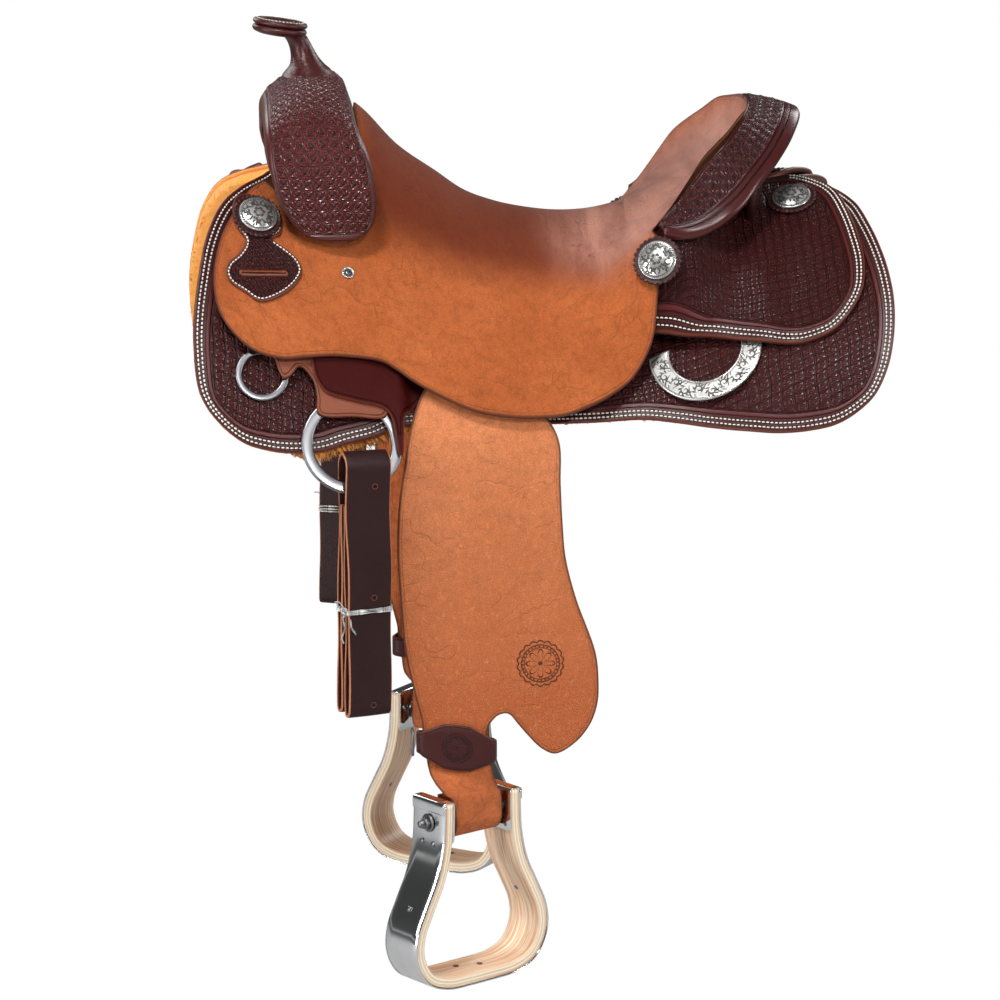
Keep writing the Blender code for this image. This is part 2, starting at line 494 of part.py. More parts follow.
for tag, side in (("left", -1), ("right", 1)):
    # rigging ring: flat bar between the two rigging leathers, hanging below them
    c, tx, ts, nn = frame_at(back, -.1955, .2600, .0204)
    ts = ts * (1 if ts[2] < 0 else -1)
    at = (c + ts * .0225, tx, ts, nn)
    ring = flat_ring(at, .0500, .0385, .0050, 0, 2 * math.pi, 34)
    FRONT_AT = at
    loft(f"front_dee_{tag}", ring, "steel", side, ring=True, origin=tuple(at[0] - at[2] * .0442 + at[3] * .0025))
    at = frame_at(back, -.2890, .2530, .0192)
    loft(f"breast_dee_{tag}", flat_ring(at, .0265, .0200, .0036, 0, 2 * math.pi, 26), "steel", side, ring=True, origin=tuple(at[0] - at[2] * .0232 + at[3] * .0018))
    c, tx, ts, nn = frame_at(back, .1480, .1860, .0234)
    half = []
    for k in range(27):
        a_in, a_out = (math.radians(lo + (hi - lo) * k / 26) for lo, hi in ((8, 203), (8, 193)))
        half.append([c + (math.cos(a) * tx + math.sin(a) * ts) * r + nn * h for r, a, h in
                     ((.0365, a_in, 0), (.0575, a_out, 0), (.0575, a_out, .0020), (.0565, a_out, .0026), (.0375, a_in, .0026), (.0365, a_in, .0020))])
    loft(f"rear_dee_{tag}", half, "silver", side, origin=tuple(c))

# ---------------------------------------------------------------- fenders and stirrup leathers
for tag, side in (("left", -1), ("right", 1)):
    hang = lambda off: (lambda x, z: np.stack([x, fender_y(z) + off, z], -1))
    panel(f"fender_{tag}", spline(FENDER_OUT, .0165, closed=True), hang(-FENDER_T / 2), hang(FENDER_T / 2), "roughout", side, .03, .024, FENDER_PIVOT)
    # the leather behind the fender, coming forward below it and turning to pass round the stirrup bolt
    bx, by, bz = STIRRUP_PIVOT
    stations = []
    for z, x, back_by, turn in ((-.045, -.077, 1, 0), (-.060, -.078, 1, 0), (-.080, -.079, 1, 0), (-.110, -.082, 1, 0), (-.140, -.084, 1, 0), (-.200, -.088, 1, 0), (-.300, -.094, 1, 0), (-.400, -.099, 1, 0),
                                (-.440, -.1005, 1, 0), (-.461, -.1000, 1, 0), (-.475, -.0990, .75, 0), (-.488, -.0975, .40, .10), (-.499, -.0950, .1, .38), (-.510, -.0915, 0, .72), (-.522, bx + .0020, 0, .96), (bz - .0045, bx + .0025, 0, 1)):
        stations.append((z, x, back_by, turn))
    loops = []
    for z, x, k, turn in stations:
        yc = float(fender_y(z)) - k * (FENDER_T / 2 + LEATHER_T / 2 + .0006)
        if turn:
            yc = yc * (1 - turn) + (by + LOOP_R) * turn
        a = STIRRUP_YAW * turn
        u = np.array([math.cos(a), math.sin(a), 0.0])
        v = np.array([-math.sin(a), math.cos(a), 0.0])
        cx = x + (LOOP_R * -math.sin(a)) * turn
        c = np.array([cx, yc if not turn else yc - LOOP_R * (1 - math.cos(a)) * turn, z])
        h, t = LEATHER_W / 2 * (1 - .06 * turn), LEATHER_T / 2
        loops.append([c + u * p + v * q for p, q in ((-h, -t), (-h / 3, -t), (h / 3, -t), (h, -t), (h, t), (h / 3, t), (-h / 3, t), (-h, t))])
    a = STIRRUP_YAW
    u = np.array([math.cos(a), math.sin(a), 0.0])
    v = np.array([-math.sin(a), math.cos(a), 0.0])
    for deg in range(22, 181, 22):
        g = math.radians(deg)
        m = np.array([bx, by, bz - .0045]) + u * .0030 + v * LOOP_R * math.cos(g) + np.array([0, 0, -LOOP_R * math.sin(g)])
        nrm = v * math.cos(g) + np.array([0, 0, -math.sin(g)])
        h, t = LEATHER_W / 2 * .94, LEATHER_T / 2
        loops.append([m + u * p + nrm * q for p, q in ((-h, -t), (-h / 3, -t), (h / 3, -t), (h, -t), (h, t), (h / 3, t), (-h / 3, t), (-h, t))])
    last = loops[-1]
    for dz in (.012, .026):
        loops.append([np.array(p) + np.array([0, 0, dz]) for p in last])
    loft(f"stirrup_leather_{tag}", loops, "roughout", side, origin=FENDER_PIVOT)
    # hobble strap: a band round the fender's tail and the leather
    yc = float(fender_y(-.462)) - .0022
    band, hx, hy = [], .0375, .0072
    for i in range(36):
        t = 2 * math.pi * i / 36
        c, s_ = math.cos(t), math.sin(t)
        px = hx * np.sign(c) * abs(c) ** .35
        py = hy * np.sign(s_) * abs(s_) ** .55
        half_h = .0105 + (.0085 * smooth(.2, .9, s_) * (1 - smooth(.55, 1.0, abs(px) / hx)))
        n = np.array([px / hx**2, py / hy**2])
        n /= np.linalg.norm(n)
        slant = -.0050 * px / hx
        o, q = .0026, .0
        band.append([(-.101 + px + n[0] * w, yc + py + n[1] * w, -.4655 + slant + hh * half_h) for w, hh in ((q, -1), (o, -1), (o, 1), (q, 1))])
    loft(f"hobble_strap_{tag}", band, "smooth", side, ring=True, origin=FENDER_PIVOT)
    buckle = []
    for i in range(24):
        t = 2 * math.pi * i / 24
        c, s_ = math.cos(t), math.sin(t)
        py, pz = .0075 * np.sign(c) * abs(c) ** .5, .0125 * np.sign(s_) * abs(s_) ** .5
        n = np.array([py, pz]) / math.hypot(py, pz)
        buckle.append([(-.1450 + w, yc + .002 + py + n[0] * q, -.4600 + pz + n[1] * q) for w, q in ((-.0013, -.0013), (.0013, -.0013), (.0013, .0013), (-.0013, .0013))])
    loft(f"hobble_buckle_{tag}", buckle, "steel", side, ring=True, origin=FENDER_PIVOT)

# ---------------------------------------------------------------- stirrups
holes = bpy.data.collections.new("cutters")
SCENE.collection.children.link(holes)
holes.hide_render = True
INNER = spline(mm([(37.2, 22), (37.4, 4), (39, -22), (47, -55), (62, -86), (72, -108), (73.5, -128), (63, -148), (43, -156.5), (14, -158), (0, -158)]), .0155)
INNER[-1, 0] = 0
INNER[INNER[:, 0] < .016, 1] = -.158
INNER = np.vstack([INNER, INNER[-2::-1] * (-1, 1)])


def offset2(P, w):
    t = np.gradient(P, axis=0)
    t /= np.linalg.norm(t, axis=1)[:, None]
    return P + np.stack([-t[:, 1], t[:, 0]], 1) * w


for tag, side in (("left", -1), ("right", 1)):
    P0 = np.array(STIRRUP_PIVOT)
    u = np.array([math.cos(STIRRUP_YAW), math.sin(STIRRUP_YAW), 0.0])
    v = np.array([-math.sin(STIRRUP_YAW), math.cos(STIRRUP_YAW), 0.0])
    up = np.array([0, 0, 1.0])
    place = lambda a, b, z: P0 + u * a + v * b + up * z

    def bow(w0, w1, depth, chamfer):
        A, B = offset2(INNER, w0), offset2(INNER, w1)
        h = depth / 2
        sec = ((0, -h + chamfer), (1, -h), (1, h), (0, h - chamfer)) if not chamfer else None
        out = []
        for a, b in zip(A, B):
            m = (b - a)
            out.append([place(*q) for q in ((a[0], -h + .002, a[1]), (a[0] + m[0] * .18, -h, a[1] + m[1] * .18), (b[0], -h, b[1]), (b[0], h, b[1]), (a[0] + m[0] * .18, h, a[1] + m[1] * .18), (a[0], h - .002, a[1]))])
        return out

    wood = loft(f"stirrup_wood_{tag}", bow(0, .0100, STIRRUP_DEPTH - .002, 1), "wood", side, origin=STIRRUP_PIVOT)
    shell = loft(f"stirrup_shell_{tag}", bow(.0103, .0119, STIRRUP_DEPTH, 0), "steel", side, origin=STIRRUP_PIVOT)
    n = 20
    ring = [[place(a, (BOLT_R + .0004) * math.cos(t), (BOLT_R + .0004) * math.sin(t)) for t in np.linspace(0, 2 * math.pi, n, endpoint=False)] for a in (-.07, .07)]
    cutter = loft(f"bolt_hole_cutter_{tag}", ring, "steel", side, origin=STIRRUP_PIVOT)
    SADDLE.objects.unlink(cutter)
    holes.objects.link(cutter)
    cutter.hide_render = True
    cutter.display_type = "WIRE"
    for part in (wood, shell):
        cut = part.modifiers.new("bolt_hole", "BOOLEAN")
        cut.operation, cut.solver, cut.object = "DIFFERENCE", "EXACT", cutter
    # bolt: head, shank and acorn nut, turned about the stirrup's width
    prof = [(-.0535, .0060), (-.0505, .0070), (-.0502, BOLT_R), (.0502, BOLT_R), (.0505, .0072), (.0560, .0072), (.0570, .0058), (.0610, .0048), (.0635, .0025)]
    rings = [[place(a, r * math.cos(t), r * math.sin(t)) for t in np.linspace(0, 2 * math.pi, n, endpoint=False)] for a, r in prof]
    loft(f"stirrup_bolt_{tag}", rings, "steel", side, origin=STIRRUP_PIVOT)

# ---------------------------------------------------------------- latigo and off billet
for tag, side, name in (("left", -1, "latigo_left"), ("right", 1, "off_billet_right")):
    c, tx, ts, nn = FRONT_AT
    low = c + ts * .0442 + nn * .0025         # middle of the ring's lowest bar
    half_w, layer, clear = LATIGO_W / 2, .0042, .0140
    centre = np.array([-.1912, low[1] - .0052, low[2]])
    mid = []
    bottom_z = -.428
    for z in (bottom_z, -.36, -.30, centre[2] - .02, centre[2]):
        mid.append((clear, z))
    top = centre[2] + .0330
    mid.append((clear, top))
    for deg in (30, 60, 90, 120, 150, 180):
        g = math.radians(deg)
        mid.append((clear * math.cos(g), top + clear * math.sin(g)))
    for z in (centre[2], centre[2] - .02, -.30, -.36, bottom_z + .006):
        mid.append((-clear, z))
    M = np.array(mid)
    T = np.gradient(M, axis=0)
    T /= np.linalg.norm(T, axis=1)[:, None]
    N = np.stack([T[:, 1], -T[:, 0]], 1)
    loops = []
    for (o, z), (ny, nz) in zip(M, N):
        f = [(o - ny * layer / 2, z - nz * layer / 2), (o + ny * layer / 2, z + nz * layer / 2)]
        loops.append([(centre[0] - half_w, centre[1] + f[0][0], f[0][1]), (centre[0] + half_w, centre[1] + f[0][0], f[0][1]),
                      (centre[0] + half_w, centre[1] + f[1][0], f[1][1]), (centre[0] - half_w, centre[1] + f[1][0], f[1][1])])
    loft(name, loops, "dark_strap", side, origin=tuple(low))
    tie = []
    for i in range(28):
        t = 2 * math.pi * i / 28
        cc, s_ = math.cos(t), math.sin(t)
        px, py = (half_w + .0012) * np.sign(cc) * abs(cc) ** .2, (clear + layer / 2 + .0028) * np.sign(s_) * abs(s_) ** .3
        n2 = np.array([px / half_w**2, py / clear**2])
        n2 /= np.linalg.norm(n2)
        tie.append([(centre[0] + px + n2[0] * w, centre[1] + py + n2[1] * w, -.3235 + hh) for w, hh in ((0, -.0018), (.0012, -.0018), (.0012, .0018), (0, .0018))])
    loft(f"strap_tie_{tag}", tie, "tie", side, ring=True, origin=tuple(low))
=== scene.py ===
"""Western pleasure saddle: the looks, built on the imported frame. Metres, +X to the rear, -Y the near side, +Z up."""
import json
import math

import bmesh
import bpy
import numpy as np
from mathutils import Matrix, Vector
from mathutils.geometry import delaunay_2d_cdt


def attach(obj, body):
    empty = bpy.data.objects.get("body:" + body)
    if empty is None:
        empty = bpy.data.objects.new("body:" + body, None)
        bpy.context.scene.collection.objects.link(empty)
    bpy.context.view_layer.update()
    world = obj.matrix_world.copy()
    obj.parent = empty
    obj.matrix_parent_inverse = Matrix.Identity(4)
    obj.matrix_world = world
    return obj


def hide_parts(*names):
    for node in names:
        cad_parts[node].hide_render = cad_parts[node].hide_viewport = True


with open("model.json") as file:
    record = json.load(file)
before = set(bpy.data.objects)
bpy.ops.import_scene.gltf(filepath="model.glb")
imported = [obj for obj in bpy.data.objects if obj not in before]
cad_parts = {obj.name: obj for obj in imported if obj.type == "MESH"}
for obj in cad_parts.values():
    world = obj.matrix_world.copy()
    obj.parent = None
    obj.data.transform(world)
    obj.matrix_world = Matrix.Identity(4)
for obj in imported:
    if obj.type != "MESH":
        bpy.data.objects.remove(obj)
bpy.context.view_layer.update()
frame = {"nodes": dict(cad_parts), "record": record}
NODES = frame["nodes"]
BODY_OF = {n: b for b, ns in frame["record"]["behaviour"]["bodies"].items() for n in ns}
mm = lambda pts: np.array(pts, float) / 1000
LR = (("left", -1), ("right", 1))

# ================================================================ camera, light, floor
cam = bpy.data.objects.new("camera", bpy.data.cameras.new("camera"))
bpy.context.scene.collection.objects.link(cam)
cam.data.lens = 146.8
cam.data.sensor_width = 36.0
cam.data.clip_end = 60
_az, _el = math.radians(-4.9), math.radians(12.0)
_back = Vector((math.sin(_az) * math.cos(_el), -math.cos(_az) * math.cos(_el), math.sin(_el)))
cam.location = Vector((-0.04085, 0.0, -0.25935)) + _back * 4.2
cam.rotation_mode = "QUATERNION"
cam.rotation_quaternion = (-_back).to_track_quat("-Z", "Y")
bpy.context.scene.camera = cam

bpy.context.scene.view_settings.view_transform = "Standard"
bpy.context.scene.view_settings.look = "None"
world = bpy.data.worlds.new("studio")
bpy.context.scene.world = world
world.use_nodes = True
_w = world.node_tree
_bg = _w.nodes["Background"]
_co = _w.nodes.new("ShaderNodeTexCoord")
_sep = _w.nodes.new("ShaderNodeSeparateXYZ")
_w.links.new(_co.outputs["Generated"], _sep.inputs[0])
_rp = _w.nodes.new("ShaderNodeValToRGB")
_w.links.new(_sep.outputs["Z"], _rp.inputs[0])
# a bright tent overhead, dark studio walls round the sides, a pale floor below
for _k, (_p, _v) in enumerate(((0.0, .40), (.04, .07), (.30, .05), (.72, .07), (.92, .32))):
    _e = _rp.color_ramp.elements[_k] if _k < 2 else _rp.color_ramp.elements.new(_p)
    _e.position = _p
    _e.color = (_v, _v, _v, 1)
_lp = _w.nodes.new("ShaderNodeLightPath")
_bg2 = _w.nodes.new("ShaderNodeBackground")
_bg2.inputs["Color"].default_value = (1, 1, 1, 1)
_bg2.inputs["Strength"].default_value = 1.0
_ms = _w.nodes.new("ShaderNodeMixShader")
_w.links.new(_rp.outputs[0], _bg.inputs["Color"])
_bg.inputs["Strength"].default_value = 1.0
_w.links.new(_lp.outputs["Is Camera Ray"], _ms.inputs[0])
_w.links.new(_bg.outputs[0], _ms.inputs[1])
_w.links.new(_bg2.outputs[0], _ms.inputs[2])
_w.links.new(_ms.outputs[0], _w.nodes["World Output"].inputs[0])


def area(name, at, aim, size, power, colour=(1, 1, 1)):
    d = bpy.data.lights.new(name, "AREA")
    d.shape = "RECTANGLE"
    d.size, d.size_y = size
    d.energy = power
    d.color = colour
    o = bpy.data.objects.new(name, d)
    bpy.context.scene.collection.objects.link(o)
    o.location = at
    o.rotation_mode = "QUATERNION"
    o.rotation_quaternion = (Vector(aim) - Vector(at)).to_track_quat("-Z", "Y")
    return o


area("key", (-1.0, -1.9, 2.9), (0, 0, -.1), (.60, .60), 88)
area("left", (-3.0, -1.4, .6), (0, 0, -.25), (.5, 1.6), 44)
area("right", (3.1, -1.7, .7), (0, 0, -.25), (.5, 1.6), 46)
area("front", (.7, -4.6, 2.4), (0, 0, -.3), (.32, .32), 88)
area("low_left", (-2.6, -2.2, -.50), (-.2, 0, .0), (1.6, .8), 20)
area("back_left", (-1.6, 2.4, 1.3), (0, 0, -.1), (1.0, 1.4), 20)
area("back_right", (2.0, 2.2, 1.2), (0, 0, -.1), (1.0, 1.4), 20)

# ================================================================ curves and surfaces, as in the part


def resample(points, step=None, closed=False, n=None):
    P = np.asarray(points, float)
    Q = np.vstack([P, P[:1]]) if closed else P
    L = np.concatenate([[0], np.cumsum(np.linalg.norm(np.diff(Q, axis=0), axis=1))])
    if n is None:
        n = max(int(round(L[-1] / step)), 3) + (0 if closed else 1)
    t = np.linspace(0, L[-1], n, endpoint=not closed)
    return np.stack([np.interp(t, L, Q[:, k]) for k in range(P.shape[1])], 1)


def spline(points, step=None, closed=False, n=None):
    P = np.asarray(points, float)
    P = np.vstack([P[-1], P, P[0], P[1]]) if closed else np.vstack([2 * P[0] - P[1], P, 2 * P[-1] - P[-2]])
    out = []
    for i in range(1, len(P) - 2):
        a, b, c, d = P[i - 1], P[i], P[i + 1], P[i + 2]
        t1 = max(np.linalg.norm(b - a), 1e-9) ** 0.5
        t2 = t1 + max(np.linalg.norm(c - b), 1e-9) ** 0.5
        t3 = t2 + max(np.linalg.norm(d - c), 1e-9) ** 0.5
        t = np.linspace(t1, t2, 17)[:-1, None]
        A1 = (t1 - t) / t1 * a + t / t1 * b
        A2 = (t2 - t) / (t2 - t1) * b + (t - t1) / (t2 - t1) * c
        A3 = (t3 - t) / (t3 - t2) * c + (t - t2) / (t3 - t2) * d
        B1 = (t2 - t) / t2 * A1 + t / t2 * A2
        B2 = (t3 - t) / (t3 - t1) * A2 + (t - t1) / (t3 - t1) * A3
        out.append((t2 - t) / (t2 - t1) * B1 + (t - t1) / (t2 - t1) * B2)
    if not closed:
        out.append(P[-2][None])
    return resample(np.vstack(out), step, closed, n)


def curve1(table):
    T = np.asarray(table, float)
    X, V = T[:, 0], T[:, 1]
    m = np.gradient(V, X)

    def f(x):
        x = np.clip(np.asarray(x, float), X[0], X[-1])
        i = np.clip(np.searchsorted(X, x, side="right") - 1, 0, len(X) - 2)
        h = X[i + 1] - X[i]
        t = (x - X[i]) / h
        return ((2 * t**3 - 3 * t * t + 1) * V[i] + (t**3 - 2 * t * t + t) * h * m[i]
                + (3 * t * t - 2 * t**3) * V[i + 1] + (t**3 - t * t) * h * m[i + 1])

    return f


def smooth(a, b, x):
    t = np.clip((np.asarray(x, float) - a) / (b - a), 0, 1)
    return t * t * (3 - 2 * t)


def ridge_z(x):
    x = np.asarray(x, float)
    return np.where(x < 0, 1.05, 0.77) * x * x


slope_top = curve1([(-.40, 49), (-.28, 45.5), (-.15, 43), (0, 41.5), (.08, 40), (.14, 36.5), (.20, 31), (.25, 27.5), (.33, 24.5), (.40, 23)])


def slope(x, s):
    t = np.clip(s / 0.045, 0, 1)
    top = slope_top(x)
    low = 71.5 - 16 * x
    return np.radians(top * (1 - (1 - t) ** 2) + (low - top) * np.clip((s - 0.09) / 0.25, 0, 1.35))


GX, GW = np.polynomial.legendre.leggauss(6)


def back(x, s, d=0.0):
    x, s = np.broadcast_arrays(np.asarray(x, float), np.asarray(s, float))
    y = np.zeros(s.shape)
    z = ridge_z(x) * 1.0
    for a, b in ((0, .045), (.045, .09), (.09, .2), (.2, 9)):
        lo = np.minimum(s, a) if a else 0 * s
        hi = np.minimum(s, b)
        h, m = (hi - lo) / 2, (hi + lo) / 2
        for g, w in zip(GX, GW):
            p = slope(x, m + h * g)
            y = y + w * h * np.cos(p)
            z = z - w * h * np.sin(p)
    p = slope(x, s)
    x, y, z = np.broadcast_arrays(x, y + d * np.sin(p), z + d * np.cos(p))
    return np.stack([x, y, z], -1)


SEAT_D, SEAT_T = 0.0340, 0.0050
bar_height = curve1([(-.34, 0), (-.30, .004), (-.22, .014), (-.10, .014), (0, .018), (.08, .032), (.12, .034), (.18, .026), (.24, .014), (.29, .005), (.33, 0)])
fender_room = curve1([(-.36, 0), (-.30, .003), (-.25, .0075), (-.19, .0090), (-.15, .0110), (-.10, .0135), (-.02, .0135), (.03, .009), (.07, .002), (.11, 0), (.3, 0)])
center_z = curve1([(-.235, .168), (-.21, .165), (-.183, .149), (-.146, .1105), (-.105, .0815), (-.08, .064), (-.048, .0515), (-.014, .044), (.018, .0405), (.052, .042), (.077, .047), (.12, .063), (.16, .092), (.185, .121), (.207, .155), (.23, .19)])
rim_lift = curve1([(-.1, 0), (.02, 0), (.06, .010), (.093, .030), (.118, .052), (.136, .071), (.148, .083), (.163, .089), (.177, .091), (.19, .092), (.2, .088), (.207, .084)])
front_w = curve1([(-.40, .05), (-.24, .06), (-.20, .09), (-.17, .12), (-.15, .13), (-.1, .12), (0, .11), (.3, .11)])
RIM_X, RIM_A, RIM_S, RIM_N = .100, .107, .102, 2.2


def bar(x, s):
    s = np.abs(s)
    return bar_height(x) * (0.35 + 0.65 * smooth(0, .06, s)) * (1 - smooth(.095, .20, s))


def bulge(x, s):
    return fender_room(x) * smooth(.10, .18, np.abs(s))


def dee_room(x, s):
    return .0078 * smooth(.07, .10, x) * (1 - smooth(.20, .24, x)) * smooth(.10, .14, s)


def rim_s(x):
    t = np.clip((np.asarray(x, float) - RIM_X) / RIM_A, 0, 1)
    return RIM_S * np.maximum(1 - t**RIM_N, 0) ** (1 / RIM_N)


def lift(x, s):
    x = np.asarray(x, float)
    s = np.abs(np.asarray(s, float))
    c = center_z(x) - ridge_z(x) - SEAT_D - bar(x, 0 * s)
    t = np.clip(s / front_w(x), 0, 1)
    front = c * (1 - t * t) ** 2
    sr = rim_s(x)
    inside = np.clip(s / np.maximum(sr, 1e-4), 0, 1)
    outside = 1 - smooth(0, .075, s - sr)
    rear = (c + (rim_lift(x) - c) * inside**2.2) * np.where(s > sr, outside, 1)
    k = smooth(.0, .09, x)
    return front * (1 - k) + rear * k


def seat(x, s, d=SEAT_D):
    P = back(x, np.abs(s), d + bar(x, s) + bulge(x, s) + dee_room(x, np.abs(s)))
    P[..., 2] += lift(x, s)
    P[..., 1] *= np.where(np.asarray(s) < 0, -1, 1)
    return P


def housing(x, s, d):
    P = back(x, s, d + bar(x, s) + dee_room(x, s))
    P[..., 2] += lift(x, s) * (1 - smooth(.115, .19, x))
    return P


def frame_at(fn, x, s, d):
    e = 1e-3
    c = fn(x, s, d)
    tx = fn(x + e, s, d) - fn(x - e, s, d)
    ts = fn(x, s + e, d) - fn(x, s - e, d)
    nn = np.cross(tx, ts)
    nn /= np.linalg.norm(nn)
    tx /= np.linalg.norm(tx)
    return c, tx, np.cross(nn, tx), nn * (1 if nn[2] > 0 else -1)


# ================================================================ node-tree helper and materials
class Tree:
    """Short-hand for building a shader tree."""

    def __init__(self, name):
        self.mat = bpy.data.materials.new(name)
        self.mat.use_nodes = True
        self.nt = self.mat.node_tree
        self.bsdf = self.nt.nodes["Principled BSDF"]

    def put(self, socket, value):
        if isinstance(value, bpy.types.NodeSocket):
            self.nt.links.new(value, socket)
        elif hasattr(socket, "default_value"):
            try:
                socket.default_value = value
            except (TypeError, ValueError):
                socket.default_value = tuple(value) + (1,) if len(value) == 3 else value

    def math(self, op, a, b=0.0, c=0.0, clamp=False):
        n = self.nt.nodes.new("ShaderNodeMath")
        n.operation = op
        n.use_clamp = clamp
        for i, v in enumerate((a, b, c)):
            self.put(n.inputs[i], v)
        return n.outputs[0]

    def vec(self, op, a, b=(0, 0, 0), out=0):
        n = self.nt.nodes.new("ShaderNodeVectorMath")
        n.operation = op
        self.put(n.inputs[0], a)
        if op == "SCALE":
            self.put(n.inputs["Scale"], b)
        else:
            self.put(n.inputs[1], b)
        return n.outputs[1] if op in ("LENGTH", "DISTANCE", "DOT_PRODUCT") else n.outputs[0]

    def uv(self, name="Flat"):
        n = self.nt.nodes.new("ShaderNodeUVMap")
        n.uv_map = name
        return n.outputs[0]

    def attr(self, name, out="Fac"):
        n = self.nt.nodes.new("ShaderNodeAttribute")
        n.attribute_name = name
        return n.outputs[out]

    def obj(self):
        return self.nt.nodes.new("ShaderNodeTexCoord").outputs["Object"]

    def split(self, v):
        n = self.nt.nodes.new("ShaderNodeSeparateXYZ")
        self.put(n.inputs[0], v)
        return n.outputs

    def join(self, x, y, z=0.0):
        n = self.nt.nodes.new("ShaderNodeCombineXYZ")
        for i, v in enumerate((x, y, z)):
            self.put(n.inputs[i], v)
        return n.outputs[0]

    def noise(self, at, scale, detail=3.0, rough=0.5, distortion=0.0, out="Fac"):
        n = self.nt.nodes.new("ShaderNodeTexNoise")
        self.put(n.inputs["Vector"], at)
        n.inputs["Scale"].default_value = scale
        n.inputs["Detail"].default_value = detail
        n.inputs["Roughness"].default_value = rough
        n.inputs["Distortion"].default_value = distortion
        return n.outputs[out]

    def voronoi(self, at, scale, feature="F1", out="Distance", rand=1.0, smoothness=None):
        n = self.nt.nodes.new("ShaderNodeTexVoronoi")
        n.feature = feature
        self.put(n.inputs["Vector"], at)
        n.inputs["Scale"].default_value = scale
        n.inputs["Randomness"].default_value = rand
        if smoothness is not None and feature == "SMOOTH_F1":
            n.inputs["Smoothness"].default_value = smoothness
        return n.outputs[out]

    def ramp(self, fac, stops, interp="LINEAR"):
        n = self.nt.nodes.new("ShaderNodeValToRGB")
        n.color_ramp.interpolation = interp
        e = n.color_ramp.elements
        while len(e) < len(stops):
            e.new(0.5)
        for k, (p, c) in enumerate(stops):
            e[k].position = p
            e[k].color = tuple(c) + (1,) if not isinstance(c, (int, float)) else (c, c, c, 1)
        self.put(n.inputs[0], fac)
        return n.outputs[0]

    def rng(self, v, a, b, lo=0.0, hi=1.0, kind="SMOOTHSTEP"):
        n = self.nt.nodes.new("ShaderNodeMapRange")
        n.interpolation_type = kind
        self.put(n.inputs["Value"], v)
        for k, q in (("From Min", a), ("From Max", b), ("To Min", lo), ("To Max", hi)):
            n.inputs[k].default_value = q
        return n.outputs["Result"]

    def mix(self, fac, a, b, mode="MIX"):
        n = self.nt.nodes.new("ShaderNodeMix")
        n.data_type = "RGBA"
        n.blend_type = mode
        self.put(n.inputs[0], fac)
        self.put(n.inputs[6], a if isinstance(a, bpy.types.NodeSocket) else tuple(a) + (1,))
        self.put(n.inputs[7], b if isinstance(b, bpy.types.NodeSocket) else tuple(b) + (1,))
        return n.outputs[2]

    def bump(self, height, distance=0.001, strength=1.0, normal=None):
        n = self.nt.nodes.new("ShaderNodeBump")
        n.inputs["Strength"].default_value = strength
        n.inputs["Distance"].default_value = distance
        self.put(n.inputs["Height"], height)
        if normal is not None:
            self.put(n.inputs["Normal"], normal)
        return n.outputs[0]

    def done(self, colour, rough, normal=None, metallic=0.0, **more):
        self.put(self.bsdf.inputs["Base Color"], colour if isinstance(colour, bpy.types.NodeSocket) else tuple(colour) + (1,))
        self.put(self.bsdf.inputs["Roughness"], rough)
        self.bsdf.inputs["Metallic"].default_value = metallic
        if normal is not None:
            self.put(self.bsdf.inputs["Normal"], normal)
        for k, v in more.items():
            self.bsdf.inputs[k].default_value = v
        return self.mat


def add(t, *vals):
    out = vals[0]
    for v in vals[1:]:
        out = t.math("ADD", out, v)
    return out


def band(t, v, a, b, soft):
    """1 between a and b, falling off over soft."""
    return t.math("MULTIPLY", t.rng(v, a - soft, a + soft), t.rng(v, b - soft, b + soft, 1.0, 0.0))


